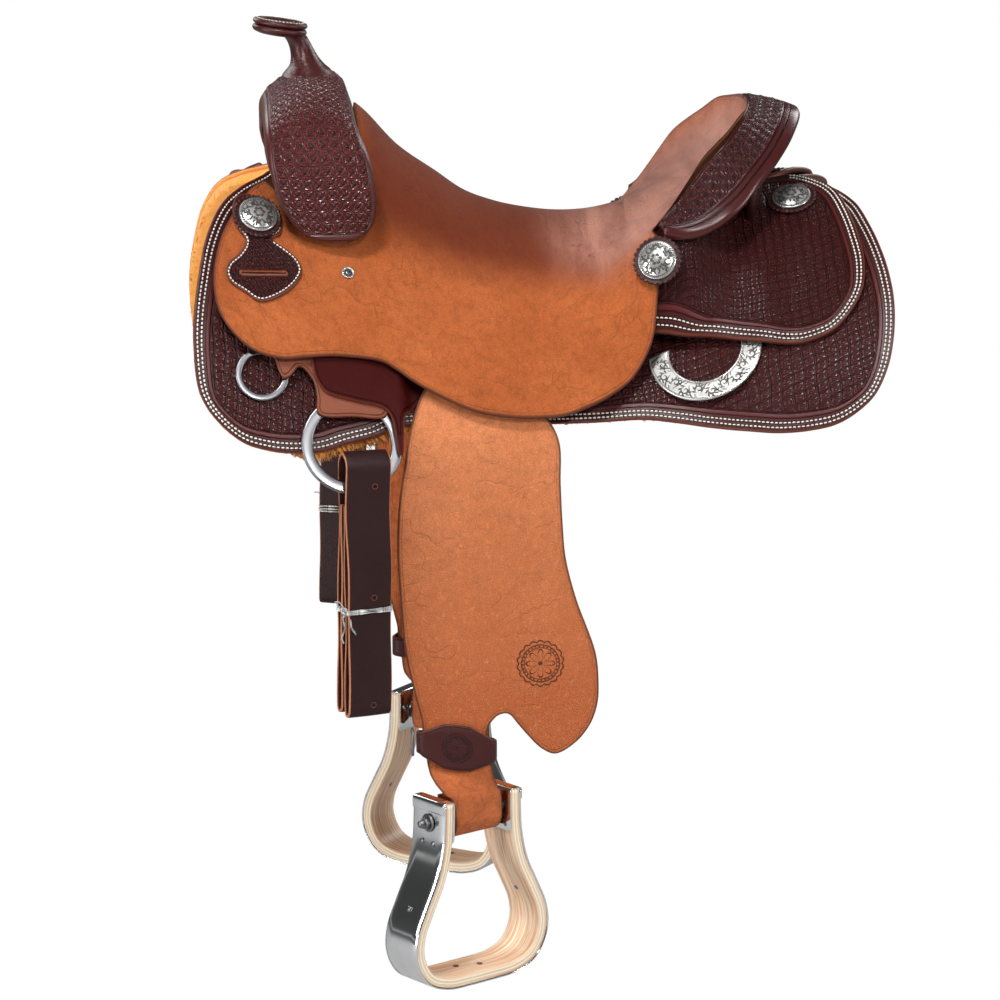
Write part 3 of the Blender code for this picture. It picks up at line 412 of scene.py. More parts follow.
def stamp_height(t, uv, cell, grid=False):
    """A traditional geometric stamp set edge to edge: overlapping circles make four petals round a raised seed, with a star of short cuts at each corner."""
    p = t.vec("SCALE", uv, 1.0 / cell)
    # the stamps were struck by hand, so the rows wander a little
    px, py, _ = t.split(p)
    p = t.join(t.math("ADD", px, t.math("MULTIPLY", t.math("SINE", t.math("MULTIPLY", py, 1.7)), .07)), t.math("ADD", py, t.math("MULTIPLY", t.math("SINE", t.math("MULTIPLY", px, 1.3)), .07)))
    f = t.vec("SUBTRACT", t.vec("FRACTION", p), (.5, .5, .5))
    a = t.vec("ABSOLUTE", f)
    ax, ay, _ = t.split(a)
    flat = t.join(ax, ay, 0.0)
    r = t.vec("LENGTH", flat)
    r2 = t.vec("DISTANCE", flat, (1.0, 0.0, 0.0))
    r3 = t.vec("DISTANCE", flat, (0.0, 1.0, 0.0))
    R = .655
    near = t.math("MINIMUM", t.math("ABSOLUTE", t.math("SUBTRACT", r, R)), t.math("MINIMUM", t.math("ABSOLUTE", t.math("SUBTRACT", r2, R)), t.math("ABSOLUTE", t.math("SUBTRACT", r3, R))))
    groove = t.rng(near, .0, .060, 1.0, 0.0)
    cx, cy = t.math("SUBTRACT", .5, ax), t.math("SUBTRACT", .5, ay)
    rc = t.vec("LENGTH", t.join(cx, cy, 0.0))
    ang = t.math("ARCTAN2", cy, cx)
    ray = t.rng(t.math("ABSOLUTE", t.math("SINE", t.math("MULTIPLY", ang, 4.0))), .0, .55, 1.0, 0.0)
    star = t.math("MULTIPLY", ray, t.math("MULTIPLY", t.rng(rc, .03, .08), t.rng(rc, .20, .28, 1.0, 0.0)))
    pip = t.rng(rc, .02, .06, 1.0, 0.0)
    seed = t.rng(r, .02, .175, 1.0, 0.0)
    moat = t.math("MULTIPLY", t.rng(r, .12, .18), t.rng(r, .22, .33, 1.0, 0.0))
    petal = t.rng(near, .0, .24)
    h = t.math("MULTIPLY", petal, .62)
    h = t.math("SUBTRACT", h, t.math("MULTIPLY", groove, .35))
    h = t.math("SUBTRACT", h, t.math("MULTIPLY", star, .45))
    h = t.math("SUBTRACT", h, t.math("MULTIPLY", moat, .85))
    h = t.math("ADD", h, t.math("MULTIPLY", seed, 1.05))
    if grid:
        # set square: each stamp is a pillow between straight cut lines
        wall = t.rng(t.math("MAXIMUM", ax, ay), .37, .47)
        h = t.math("SUBTRACT", t.math("ADD", t.math("MULTIPLY", t.math("SUBTRACT", 1.0, wall), 1.15), t.math("MULTIPLY", seed, .55)), t.math("ADD", t.math("MULTIPLY", moat, .55), t.math("MULTIPLY", groove, .20)))
        return h, t.math("MAXIMUM", wall, t.math("MULTIPLY", groove, .30)), t.math("MULTIPLY", moat, .75), seed
    return h, t.math("MAXIMUM", groove, star), t.math("MAXIMUM", moat, pip), seed


def stamp_relief(uv, cell):
    """The same stamps as mesh relief: domed petals round a raised seed in its moat."""
    p = np.asarray(uv, float) / cell
    p = p + .07 * np.stack([np.sin(1.7 * p[:, 1]), np.sin(1.3 * p[:, 0])], 1)
    a = np.abs(p - np.floor(p) - .5)
    r = np.linalg.norm(a, axis=1)
    near = np.min([np.abs(r - .655), np.abs(np.linalg.norm(a - (1, 0), axis=1) - .655), np.abs(np.linalg.norm(a - (0, 1), axis=1) - .655)], 0)
    return .75 * smooth(.0, .24, near) - .80 * smooth(.10, .19, r) * (1 - smooth(.21, .34, r)) + .95 * (1 - smooth(.02, .19, r)) - .30


def emboss(o, cell, amount, attr, keep):
    """Raise a lofted piece's stamps along its normals where keep(attribute) holds."""
    me = o.data
    n = len(me.vertices)
    co, no, k = np.empty(n * 3), np.empty(n * 3), np.empty(n, np.float32)
    me.vertices.foreach_get("co", co)
    me.vertices.foreach_get("normal", no)
    me.attributes[attr].data.foreach_get("value", k)
    idx = np.empty(len(me.loops), np.int32)
    me.loops.foreach_get("vertex_index", idx)
    at = np.empty(len(me.loops) * 2)
    me.uv_layers["Flat"].data.foreach_get("uv", at)
    uv = np.zeros((n, 2))
    uv[idx] = at.reshape(-1, 2)
    co = co.reshape(-1, 3) + no.reshape(-1, 3) * (amount * stamp_relief(uv, cell) * keep(k))[:, None]
    me.vertices.foreach_set("co", co.ravel())
    me.update()


def stamped(cell, amount, start, ridge=None, edge=None, uv=None):
    """A shape for leather_sheet: stamps inside the border, and the border's raised line, as relief."""
    def shape(V, Q, D):
        n = len(Q) // 2
        q = Q[:n]
        d = D[:n] if edge is None else edge(q[:, 0], q[:, 1], D[:n])
        up = V[:n] - V[n:]
        up /= np.linalg.norm(up, axis=1)[:, None] + 1e-12
        p = np.asarray(uv(q), float) / cell
        p = p + .07 * np.stack([np.sin(1.7 * p[:, 1]), np.sin(1.3 * p[:, 0])], 1)
        h = (.5 - .25 * np.cos(2 * np.pi * p).sum(1)) * smooth(start - .5, start + .9, d) * amount
        if ridge:
            h = h + .0005 * smooth(ridge[0] - .6, ridge[0] + .6, d) * (1 - smooth(ridge[1] - .6, ridge[1] + .6, d))
        V = V.copy()
        V[:n] += up * h[:, None]
        return V
    return shape


def tooled(name, cell=.0115, border=(17.0, 2.0, 10.5, 12.2, 16.0), rows=(4.2, 8.3), edge_attr="edge_mm", tone=1.0, spec=.50):
    """Stamped dark leather with a smooth border. border = (stamps start, -, border end, ridge from, to) in mm from the edge."""
    t = Tree(name)
    uv = t.uv()
    e = t.attr(edge_attr)
    h, groove, ring, seed = stamp_height(t, uv, cell, grid=bool(rows))
    inside = t.rng(e, border[0] - .5, border[0] + .9)
    grain = t.noise(uv, 1400.0, 2.0)
    pores = t.voronoi(uv, 700.0)
    mottle = t.noise(uv, 28.0, 4.0, .6)
    ridge = band(t, e, border[3], border[4], .5)
    channel = t.math("MAXIMUM", band(t, e, rows[0] - .9, rows[0] + .9, .35), band(t, e, rows[1] - .9, rows[1] + .9, .35)) if rows else 0.0
    lineg = band(t, e, border[0] - 1.0, border[0] + .1, .35)
    H = t.math("MULTIPLY", t.math("MULTIPLY", h, inside), 1.05)
    H = t.math("ADD", H, t.math("MULTIPLY", ridge, .75))
    H = t.math("SUBTRACT", H, t.math("MULTIPLY", channel, .35))
    H = t.math("SUBTRACT", H, t.math("MULTIPLY", lineg, .5))
    H = t.math("ADD", H, t.math("MULTIPLY", grain, .035))
    H = t.math("ADD", H, t.math("MULTIPLY", pores, .03))
    normal = t.bump(H, .0030)
    # painted shade: the stamps' cut lines, corner stars and moats are coloured near-black for the shade that lies in
    # them
    dark = t.math("MULTIPLY", inside, t.math("ADD", t.math("MULTIPLY", groove, .70), t.math("MULTIPLY", ring, .85)), clamp=True)
    base = t.mix(mottle, (.056 * tone, .0074 * tone, .0076 * tone), (.098 * tone, .0125 * tone, .0118 * tone))
    base = t.mix(t.math("MULTIPLY", inside, .25), base, (.070 * tone, .0100 * tone, .0096 * tone))
    # painted highlight: the raised seeds are coloured lighter, partly rubbed wear and partly the glint they catch
    base = t.mix(t.math("MULTIPLY", t.math("MULTIPLY", inside, seed), .30), base, (.20, .055, .050))
    base = t.mix(t.math("MULTIPLY", dark, .95), base, (.0050, .0014, .0018))
    base = t.mix(t.math("MULTIPLY", t.math("SUBTRACT", 1.0, inside), .75), base, (.036, .0044, .0042))
    base = t.mix(t.math("MULTIPLY", ridge, .6), base, (.090, .0125, .0110))
    # painted shade: the stitch channels are coloured darker for the shade in the grooves
    base = t.mix(t.math("MULTIPLY", channel, .6), base, (.014, .0035, .0038))
    rim = t.rng(e, .8, 2.0, 1.0, 0.0)
    base = t.mix(t.math("MULTIPLY", rim, .7), base, (.16, .040, .020))
    rough = t.math("ADD", t.rng(mottle, .2, .8, .17, .26, "LINEAR"), t.math("MULTIPLY", dark, .40))
    rough = t.math("ADD", rough, t.math("MULTIPLY", t.math("SUBTRACT", 1.0, inside), .14))
    return t.done(base, rough, normal, **{"Specular IOR Level": spec})


def wheel(t, x, y, R):
    """A plain stamped wheel: a scalloped rim, two rings and eight petals. 1 in the cut lines."""
    r = t.math("DIVIDE", t.vec("LENGTH", t.join(x, y, 0.0)), R)
    a = t.math("ARCTAN2", y, x)
    teeth = t.math("ADD", .90, t.math("MULTIPLY", t.math("ABSOLUTE", t.math("SINE", t.math("MULTIPLY", a, 9.0))), .09))
    rim = t.rng(t.math("ABSOLUTE", t.math("SUBTRACT", r, teeth)), .012, .045, 1.0, 0.0)
    ring = t.rng(t.math("ABSOLUTE", t.math("SUBTRACT", r, .80)), .010, .035, 1.0, 0.0)
    ring2 = t.rng(t.math("ABSOLUTE", t.math("SUBTRACT", r, .68)), .006, .026, 1.0, 0.0)
    leaf = t.math("MULTIPLY", t.math("POWER", t.math("ABSOLUTE", t.math("COSINE", t.math("MULTIPLY", a, 4.0))), .55), .60)
    petal = t.rng(t.math("ABSOLUTE", t.math("SUBTRACT", r, leaf)), .012, .050, 1.0, 0.0)
    beads = t.math("MULTIPLY", t.rng(t.math("SINE", t.math("MULTIPLY", a, 28.0)), .1, .5), band(t, r, .71, .77, .015))
    hub = t.rng(r, .07, .11, 1.0, 0.0)
    return t.math("MAXIMUM", t.math("MAXIMUM", t.math("MAXIMUM", rim, ring), t.math("MAXIMUM", ring2, petal)), t.math("MAXIMUM", beads, hub))


def smooth_leather(name, a, b, rough=(.28, .42), grain=1.0, edge=None, coat=.25, scale=1.0, mark=None):
    t = Tree(name)
    uv = t.uv()
    m = t.noise(uv, 22.0 * scale, 5.0, .62)
    f = t.noise(uv, 1100.0, 2.0)
    cells = t.voronoi(uv, 900.0, "SMOOTH_F1", smoothness=.4)
    wrinkle = t.noise(uv, 160.0, 4.0, .6)
    H = t.math("ADD", t.math("MULTIPLY", cells, .09 * grain), t.math("ADD", t.math("MULTIPLY", f, .03), t.math("MULTIPLY", wrinkle, .10 * grain)))
    base = t.mix(m, a, b)
    if edge:
        e = t.attr("edge_mm")
        line = band(t, e, edge[1], edge[2], .25)
        H = t.math("SUBTRACT", H, t.math("MULTIPLY", line, .45))
        base = t.mix(t.math("MULTIPLY", t.rng(e, 0.2, 1.8, 1.0, 0.0), .8), base, edge[0])
        base = t.mix(t.math("MULTIPLY", line, .6), base, tuple(v * .35 for v in a))
    if mark:
        w = wheel(t, t.attr("mark_x"), t.attr("mark_y"), mark)
        H = t.math("SUBTRACT", H, t.math("MULTIPLY", w, .50))
        base = t.mix(t.math("MULTIPLY", w, .75), base, tuple(v * .30 for v in a))
    return t.done(base, t.rng(m, .2, .8, rough[0], rough[1], "LINEAR"), t.bump(H, .0022), **{"Specular IOR Level": .2 + .4 * coat})


def roughout(name, a, b, dark_edge=(.10, .030, .016), seatlike=False, low=None, mark=None):
    """Flesh-side leather: short nap with a mottled hand, darker burnished edges."""
    t = Tree(name)
    uv = t.uv()
    big = t.noise(uv, 9.0, 4.0, .55)
    mid = t.noise(uv, 70.0, 5.0, .68)
    fine = t.noise(uv, 760.0, 5.0, .75)
    coarse = t.noise(t.vec("ADD", t.vec("MULTIPLY", uv, (1.0, .7, 1.0)), t.vec("SCALE", t.noise(uv, 60.0, 2.0, out="Color"), .004)), 260.0, 5.0, .72)
    nap = t.noise(t.vec("MULTIPLY", uv, (1.0, .45, 1.0)), 1500.0, 3.0, .6)
    pit = t.voronoi(uv, 300.0)
    base = t.mix(t.rng(big, .3, .7), a, b)
    if low:
        # the lower end is coloured darker
        z = t.split(t.obj())[2]
        base = t.mix(t.math("MULTIPLY", t.rng(z, -.42, -.12, 1.0, 0.0, "LINEAR"), .85), base, low)
    base = t.mix(t.math("MULTIPLY", t.rng(mid, .42, .66), .40), base, tuple(v * .62 for v in a))
    base = t.mix(t.math("MULTIPLY", t.rng(fine, .46, .66), .34), base, tuple(min(1, v * 1.45) for v in b))
    base = t.mix(t.math("MULTIPLY", t.rng(coarse, .50, .36), .34), base, tuple(v * .55 for v in a))
    base = t.mix(t.math("MULTIPLY", t.rng(coarse, .54, .70), .26), base, tuple(min(1, v * 1.4) for v in b))
    base = t.mix(t.math("MULTIPLY", t.rng(fine, .52, .36), .30), base, tuple(v * .52 for v in a))
    base = t.mix(t.math("MULTIPLY", t.rng(pit, .0, .24, 1.0, 0.0), t.math("MULTIPLY", t.rng(mid, .46, .66), .75)), base, tuple(v * .38 for v in a))
    # long faint scratches and healed wrinkles of the hide
    wr = t.voronoi(t.vec("ADD", t.vec("MULTIPLY", uv, (24.0, 34.0, 1.0)), t.vec("SCALE", t.noise(uv, 24.0, 3.0, out="Color"), 1.6)), 1.0, "DISTANCE_TO_EDGE")
    vein = t.math("MULTIPLY", t.rng(wr, .0, .034, 1.0, 0.0), t.rng(t.noise(uv, 17.0, 3.0), .46, .58))
    base = t.mix(t.math("MULTIPLY", vein, .24), base, tuple(v * .50 for v in a))
    rough = .85
    coat = 0.0
    if seatlike:
        # painted shade: darker on the seat's middle in front of the dish, where it lies in shade below the swell
        shade_fac = t.attr("seat_burn")
        base = t.mix(t.math("MULTIPLY", shade_fac, .84), base, (.102, .0140, .0045))
        k = t.attr("seat_k")
        streak = t.noise(t.vec("MULTIPLY", uv, (30.0, 8.0, 1.0)), 1.0, 6.0, .68, .5)
        worn = t.mix(t.rng(streak, .35, .7), (.25, .085, .056), (.47, .205, .145))
        worn = t.mix(t.math("MULTIPLY", t.rng(fine, .5, .7), .45), worn, (.58, .30, .22))
        crease = t.voronoi(t.vec("ADD", t.vec("MULTIPLY", uv, (60.0, 26.0, 1.0)), t.vec("SCALE", t.noise(uv, 40.0, 3.0, out="Color"), 1.5)), 1.0, "DISTANCE_TO_EDGE")
        crease = t.math("MULTIPLY", t.rng(crease, .0, .050, 1.0, 0.0), t.rng(t.noise(uv, 20.0, 2.0), .50, .60))
        worn = t.mix(t.math("MULTIPLY", crease, .30), worn, (.085, .022, .014))
        scuff = t.noise(t.vec("MULTIPLY", uv, (18.0, 60.0, 1.0)), 1.0, 5.0, .7, 1.4)
        worn = t.mix(t.math("MULTIPLY", t.rng(scuff, .62, .70), .70), worn, (.070, .020, .013))
        base = t.mix(k, base, worn)
        rough = t.rng(k, 0.0, 1.0, .85, .36, "LINEAR")
    w = None
    if mark:
        mx, my, _ = t.split(t.vec("SUBTRACT", uv, (mark[0], mark[1], 0.0)))
        w = wheel(t, mx, my, mark[2])
        base = t.mix(t.math("MULTIPLY", w, .92), base, (.085, .020, .010))
    e = t.attr("edge_mm")
    base = t.mix(t.math("MULTIPLY", t.rng(e, 1.0, 3.0, 1.0, 0.0), .85), base, dark_edge)
    H = t.math("ADD", t.math("MULTIPLY", nap, .22), t.math("ADD", t.math("MULTIPLY", fine, .32), t.math("MULTIPLY", mid, .25)))
    H = t.math("SUBTRACT", H, t.math("MULTIPLY", vein, .20))
    H = t.math("SUBTRACT", H, t.math("MULTIPLY", band(t, e, 3.2, 4.4, .3), .35))
    if w is not None:
        H = t.math("SUBTRACT", H, t.math("MULTIPLY", w, .45))
    return t.done(base, rough, t.bump(H, .0026), **{"Sheen Weight": .06, "Sheen Roughness": .45, "Specular IOR Level": .18})


def edge_leather(name, a, b):
    """The cut and burnished thickness of a hide: fine layers along the edge."""
    t = Tree(name)
    p = t.obj()
    m = t.noise(p, 60.0, 4.0, .6)
    fib = t.noise(t.vec("MULTIPLY", p, (.3, .3, 1.0)), 900.0, 3.0, .6)
    base = t.mix(m, a, b)
    base = t.mix(t.math("MULTIPLY", t.rng(fib, .4, .7), .35), base, tuple(v * .5 for v in a))
    return t.done(base, .5, t.bump(fib, .0004, .6), **{"Specular IOR Level": .4})


def metal(name, colour=(.72, .72, .72), rough=(.10, .22), metallic=1.0, engraved=None):
    t = Tree(name)
    p = t.obj()
    n = t.noise(p, 45.0, 4.0, .6)
    s = t.noise(t.vec("MULTIPLY", p, (1.0, 6.0, 1.0)), 420.0, 3.0, .6)
    H = t.math("MULTIPLY", s, .03)
    base = t.mix(t.math("MULTIPLY", t.rng(n, .45, .75), .25), colour, tuple(v * .72 for v in colour))
    if engraved:
        uv = t.uv()
        q = t.vec("SCALE", uv, engraved)
        w = t.noise(q, .55, 2.0, .5, out="Color")
        q = t.vec("ADD", q, t.vec("SCALE", t.vec("SUBTRACT", w, (.5, .5, .5)), 2.6))
        # running scroll: curls round scattered centres, cut as fine parallel strokes
        c = t.voronoi(q, .55, "F1", "Position", .8)
        rel = t.vec("SUBTRACT", q, t.vec("SCALE", c, 1.0))
        rx, ry, _ = t.split(rel)
        ang = t.math("ARCTAN2", ry, rx)
        dist = t.vec("LENGTH", rel)
        spiral = t.math("SINE", t.math("ADD", t.math("MULTIPLY", dist, 9.0), t.math("MULTIPLY", ang, 2.0)))
        edge = t.voronoi(q, .55, "DISTANCE_TO_EDGE", "Distance", .8)
        leaf = t.noise(q, 1.6, 2.0, .5, 2.2)
        cut = t.math("MAXIMUM", t.rng(spiral, .35, .85), t.rng(edge, .0, .10, 1.0, 0.0))
        cut = t.math("MULTIPLY", cut, t.rng(leaf, .36, .56))
        mask = t.attr("cut_k")
        cut = t.math("MULTIPLY", cut, mask)
        H = t.math("SUBTRACT", H, t.math("MULTIPLY", cut, .55))
        base = t.mix(t.math("MULTIPLY", cut, .88), base, (.05, .048, .045))
    return t.done(base, t.rng(n, .3, .7, rough[0], rough[1], "LINEAR"), t.bump(H, .0005 if engraved else .00012), metallic=metallic)


def fleece_mat(name):
    t = Tree(name)
    p = t.obj()
    curl = t.voronoi(p, 150.0, "SMOOTH_F1", smoothness=.6)
    f = t.noise(p, 420.0, 5.0, .7, .4)
    big = t.noise(p, 14.0, 3.0, .6)
    base = t.mix(t.rng(f, .3, .7), (1.0, .365, .062), (1.0, .48, .120))
    # painted shade: the gaps between the curls are coloured darker
    base = t.mix(t.math("MULTIPLY", t.rng(curl, .15, .5), .16), base, (.80, .290, .045))
    base = t.mix(t.math("MULTIPLY", big, .25), base, (.97, .50, .15))
    H = t.math("ADD", t.math("MULTIPLY", f, .9), t.math("MULTIPLY", curl, -.9))
    return t.done(base, .95, t.bump(H, .0016), **{"Sheen Weight": .3, "Sheen Roughness": .4, "Specular IOR Level": .15})


def wood_mat(name, plies=False):
    t = Tree(name)
    uv = t.uv()
    u, v, _ = t.split(uv)
    grain = t.noise(t.vec("MULTIPLY", uv, (7.0, 240.0, 1.0)), 1.0, 6.0, .65, .3)
    streak = t.noise(t.vec("MULTIPLY", uv, (12.0, 520.0, 1.0)), 1.0, 3.0, .6)
    warm = t.noise(t.vec("MULTIPLY", uv, (5.0, 30.0, 1.0)), 1.0, 3.0, .5)
    base = t.mix(t.rng(grain, .34, .66), (.80, .47, .29), (1.0, .88, .66))
    base = t.mix(t.math("MULTIPLY", t.rng(streak, .50, .62), .58), base, (.46, .200, .095))
    base = t.mix(t.math("MULTIPLY", t.rng(warm, .45, .8), .4), base, (.62, .27, .115))
    if plies:
        k = t.math("MULTIPLY", t.attr("ply"), 6.0)
        fr = t.math("FRACT", k)
        alt = t.rng(t.math("SINE", t.math("MULTIPLY", k, math.pi)), -.2, .2)
        pale = t.mix(alt, (1.0, .90, .72), (.80, .62, .42))
        line = t.math("MULTIPLY", t.rng(fr, .0, .10, 1.0, 0.0), .65)
        pale = t.mix(line, pale, (.24, .13, .06))
        base = t.mix(.85, base, pale)
    H = t.math("MULTIPLY", streak, .25)
    return t.done(base, .42, t.bump(H, .0006), **{"Coat Weight": .15, "Coat Roughness": .3})


def thread(name, colour=(.80, .76, .68)):
    t = Tree(name)
    p = t.obj()
    n = t.noise(p, 900.0, 3.0, .6)
    return t.done(t.mix(t.rng(n, .3, .7), tuple(v * .72 for v in colour), colour), .6, t.bump(n, .0003), **{"Sheen Weight": .2})


M = {
    "tooled": tooled("tooled_leather", cell=.0108, spec=.30),
    "housing": tooled("tooled_housing", cell=.0092, rows=(4.0, 7.9), border=(16.0, 2.0, 10.0, 11.6, 14.8), tone=.85, spec=.22),
    # painted light: the swell's stamped leather is made much lighter than the skirts' for the light its top catches
    "swell": tooled("tooled_swell", cell=.0115, rows=None, border=(9.6, 2.0, 7.0, 3.4, 7.6), tone=1.85, spec=.62),
    "keeper": tooled("tooled_keeper", cell=.0098, rows=None, border=(5.0, 2.0, 4.0, 3.4, 4.4), tone=.85, spec=.32),
    "edge": edge_leather("cut_edge", (.21, .060, .030), (.36, .120, .060)),
    "edge_dark": edge_leather("burnished_edge", (.050, .0125, .0100), (.12, .030, .020)),
    "edge_tan": edge_leather("raw_edge", (.36, .115, .045), (.52, .20, .090)),
    "flesh": edge_leather("flesh_side", (.30, .115, .050), (.46, .20, .095)),
    "burgundy": smooth_leather("smooth_burgundy", (.036, .0066, .0068), (.074, .0125, .0118), rough=(.22, .34), coat=.5),
    "burgundy_edge": smooth_leather("smooth_burgundy_lined", (.034, .0034, .0034), (.054, .0052, .0050), rough=(.34, .46), edge=((.17, .038, .020), 3.0, 3.9), coat=-.35),
    "rolled": smooth_leather("rolled_brown", (.16, .038, .018), (.27, .078, .036), rough=(.35, .5), edge=((.10, .022, .012), 2.6, 3.4), coat=.1),
    "dark": smooth_leather("dark_strap", (.024, .0060, .0062), (.050, .0110, .0105), rough=(.30, .42), coat=.3),
    "hobble": smooth_leather("hobble_leather", (.034, .0064, .0062), (.062, .0115, .0105), rough=(.30, .42), coat=.3, edge=((.10, .022, .012), 1.6, 2.3), mark=15.0),
    "latigo": smooth_leather("oiled_latigo", (.019, .0070, .0072), (.030, .0105, .0106), rough=(.38, .50), coat=.0),
    # painted shade: near-black for the dark inside punched holes and slots
    "hole": smooth_leather("punched_hole", (.004, .002, .002), (.008, .004, .004), rough=(.6, .8), coat=0),
    "seat": roughout("roughout_seat", (.37, .088, .021), (.49, .130, .036), seatlike=True),
    "fender": roughout("roughout_fender", (.60, .195, .075), (.74, .265, .110), low=(.355, .064, .013), mark=(-.0180, -.3821, .0235)),
    "strap": roughout("roughout_strap", (.46, .118, .034), (.60, .165, .055)),
    "fleece": fleece_mat("wool_fleece"),
    "steel": metal("satin_steel", (.21, .21, .22), (.26, .36), 1.0),
    "polished": metal("polished_steel", (.80, .81, .82), (.075, .13)),
    "silver": metal("engraved_silver", (.60, .59, .57), (.22, .32), .75),
    "engraving": metal("blackened_cut", (.060, .056, .052), (.45, .6), .4),
    "wood": wood_mat("stirrup_wood"),
    "plies": wood_mat("stirrup_plies", True),
    "tree": smooth_leather("stained_bars", (.034, .012, .008), (.060, .021, .013), rough=(.5, .6), coat=0),
    "thread": thread("stitch_thread", (.96, .92, .84)),
    "tie": thread("white_lace", (.95, .95, .93)),
}


# ================================================================ mesh builders
def finish_mesh(name, V, faces, mats, body, replaces=(), face_mat=None, uvs=None, attrs=None, smooth_all=True):
    mesh = bpy.data.meshes.new(name)
    mesh.from_pydata([tuple(map(float, v)) for v in V], [], [tuple(map(int, f)) for f in faces])
    for m in mats:
        mesh.materials.append(M[m] if isinstance(m, str) else m)
    if face_mat is not None:
        mesh.polygons.foreach_set("material_index", np.asarray(face_mat, np.int32))
    if uvs is not None:
        layer = mesh.uv_layers.new(name="Flat")
        if callable(uvs):
            uvs = uvs(mesh)
        layer.data.foreach_set("uv", np.asarray(uvs, np.float32).ravel())
    for k, v in (attrs or {}).items():
        a = mesh.attributes.new(k, "FLOAT", "POINT")
        a.data.foreach_set("value", np.asarray(v, np.float32))
    if smooth_all:
        mesh.polygons.foreach_set("use_smooth", np.ones(len(mesh.polygons), bool))
    mesh.update()
    o = bpy.data.objects.new(name, mesh)
    bpy.context.scene.collection.objects.link(o)
    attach(o, body)
    if replaces:
        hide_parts(*replaces)
    return o


def poly_distance(P, O):
    """Inside flags and distance of points to a closed outline."""
    A, B = O, np.roll(O, -1, 0)
    inside = np.zeros(len(P), bool)
    near = np.full(len(P), 9.0)
    for a, b in zip(A, B):
        cross = (a[1] > P[:, 1]) != (b[1] > P[:, 1])
        with np.errstate(divide="ignore", invalid="ignore"):
            xi = (b[0] - a[0]) * (P[:, 1] - a[1]) / (b[1] - a[1]) + a[0]
        inside ^= cross & (P[:, 0] < xi)
        t = np.clip(((P - a) @ (b - a)) / max((b - a) @ (b - a), 1e-12), 0, 1)
        near = np.minimum(near, np.linalg.norm(P - a - t[:, None] * (b - a), axis=1))
    return inside, near


def inset(O, w):
    """Closed outline moved inwards by w."""
    t = np.roll(O, -1, 0) - np.roll(O, 1, 0)
    t /= np.linalg.norm(t, axis=1)[:, None] + 1e-12
    n = np.stack([-t[:, 1], t[:, 0]], 1)
    area = 0.5 * np.sum(O[:, 0] * np.roll(O[:, 1], -1) - np.roll(O[:, 0], -1) * O[:, 1])
    return O + n * w * (1 if area > 0 else -1)


def sheet_mesh(O, fn, d_low, d_high, side=1, grid=.005, roundness=.0012, fine=None):
    """Vertices, faces, material indices, UVs and edge distances of a leather sheet between two offsets of a surface."""
    O = np.asarray(O, float)
    rings = [.18, .45, .8, 1.25]
    extra = []
    for k in rings:
        I = inset(O, roundness * k)
        ok, near = poly_distance(I, O)
        extra.append(I[ok & (near > roundness * k * .9)])
    for w in (grid * .55, grid * 1.15):
        I = resample(inset(O, w), grid * .8, closed=True)
        ok, near = poly_distance(I, O)
        extra.append(I[ok & (near > w * .93)])
    lo, hi = O.min(0), O.max(0)
    X, S = np.meshgrid(np.arange(lo[0], hi[0] + grid, grid), np.arange(lo[1], hi[1] + grid, grid))
    L = np.stack([X.ravel(), S.ravel()], 1)
    L[:, 0] += (np.round((L[:, 1] - lo[1]) / grid) % 2) * grid * .5
    ok, near = poly_distance(L, O)
    L = L[ok & (near > grid * 1.6)]
    if fine:
        step, where = fine
        L = L[~where(L[:, 0], L[:, 1])]
        X, S = np.meshgrid(np.arange(lo[0], hi[0] + step, step), np.arange(lo[1], hi[1] + step, step * .87))
        K = np.stack([X.ravel(), S.ravel()], 1)
        K[:, 0] += (np.round((K[:, 1] - lo[1]) / (step * .87)) % 2) * step * .5
        K = K[where(K[:, 0], K[:, 1])]
        ok, near = poly_distance(K, O)
        L = np.vstack([L, K[ok & (near > grid * 1.6)]])
    P = np.vstack(extra + [L])
    coords = [tuple(v * 1000) for v in O] + [tuple(v * 1000) for v in P]
    out, _, faces, _, _, _ = delaunay_2d_cdt([tuple(map(float, c)) for c in coords], [], [list(range(len(O)))], 1, 1e-4)
    Q = np.array([tuple(v) for v in out]) / 1000
    tris = np.array([tuple(f) for f in faces])
    _, dist = poly_distance(Q, O)
    dist[dist < 1e-7] = 0
    r = min(roundness, (d_high - d_low) * .5)
    u = np.clip(1 - dist / roundness, 0, 1)
    fall = r * (1 - np.sqrt(np.maximum(1 - u * u, 0)))
    top = fn(Q[:, 0], Q[:, 1], d_high - fall)
    bot = fn(Q[:, 0], Q[:, 1], d_low + fall * .6)
    n = len(Q)
    edges = {}
    for f in tris:
        for a, b in ((f[0], f[1]), (f[1], f[2]), (f[2], f[0])):
            edges[(int(a), int(b))] = True
    rim = [(a, b) for a, b in edges if (b, a) not in edges]
    V = np.vstack([top, bot])
    V[:, 1] *= side
    F = [tuple(f) for f in tris] + [tuple(i + n for i in f[::-1]) for f in tris] + [(b, a, a + n, b + n) for a, b in rim]
    mat = [0] * len(tris) + [2] * len(tris) + [1] * len(rim)
    if side < 0:
        F = [f[::-1] for f in F]
    # outward orientation check on the first top face
    a, b, c = (V[i] for i in F[0])
    nrm = np.cross(b - a, c - a)
    ref = (top.mean(0) - bot.mean(0)) * (1, side, 1)
    if nrm @ ref < 0:
        F = [f[::-1] for f in F]
    Q2 = np.vstack([Q, Q])
    D2 = np.concatenate([dist, dist]) * 1000
    return V, F, mat, Q2, D2


def uv_from_points(Q):
    def make(mesh):
        idx = np.empty(len(mesh.loops), np.int32)
        mesh.loops.foreach_get("vertex_index", idx)
        return Q[idx]
    return make


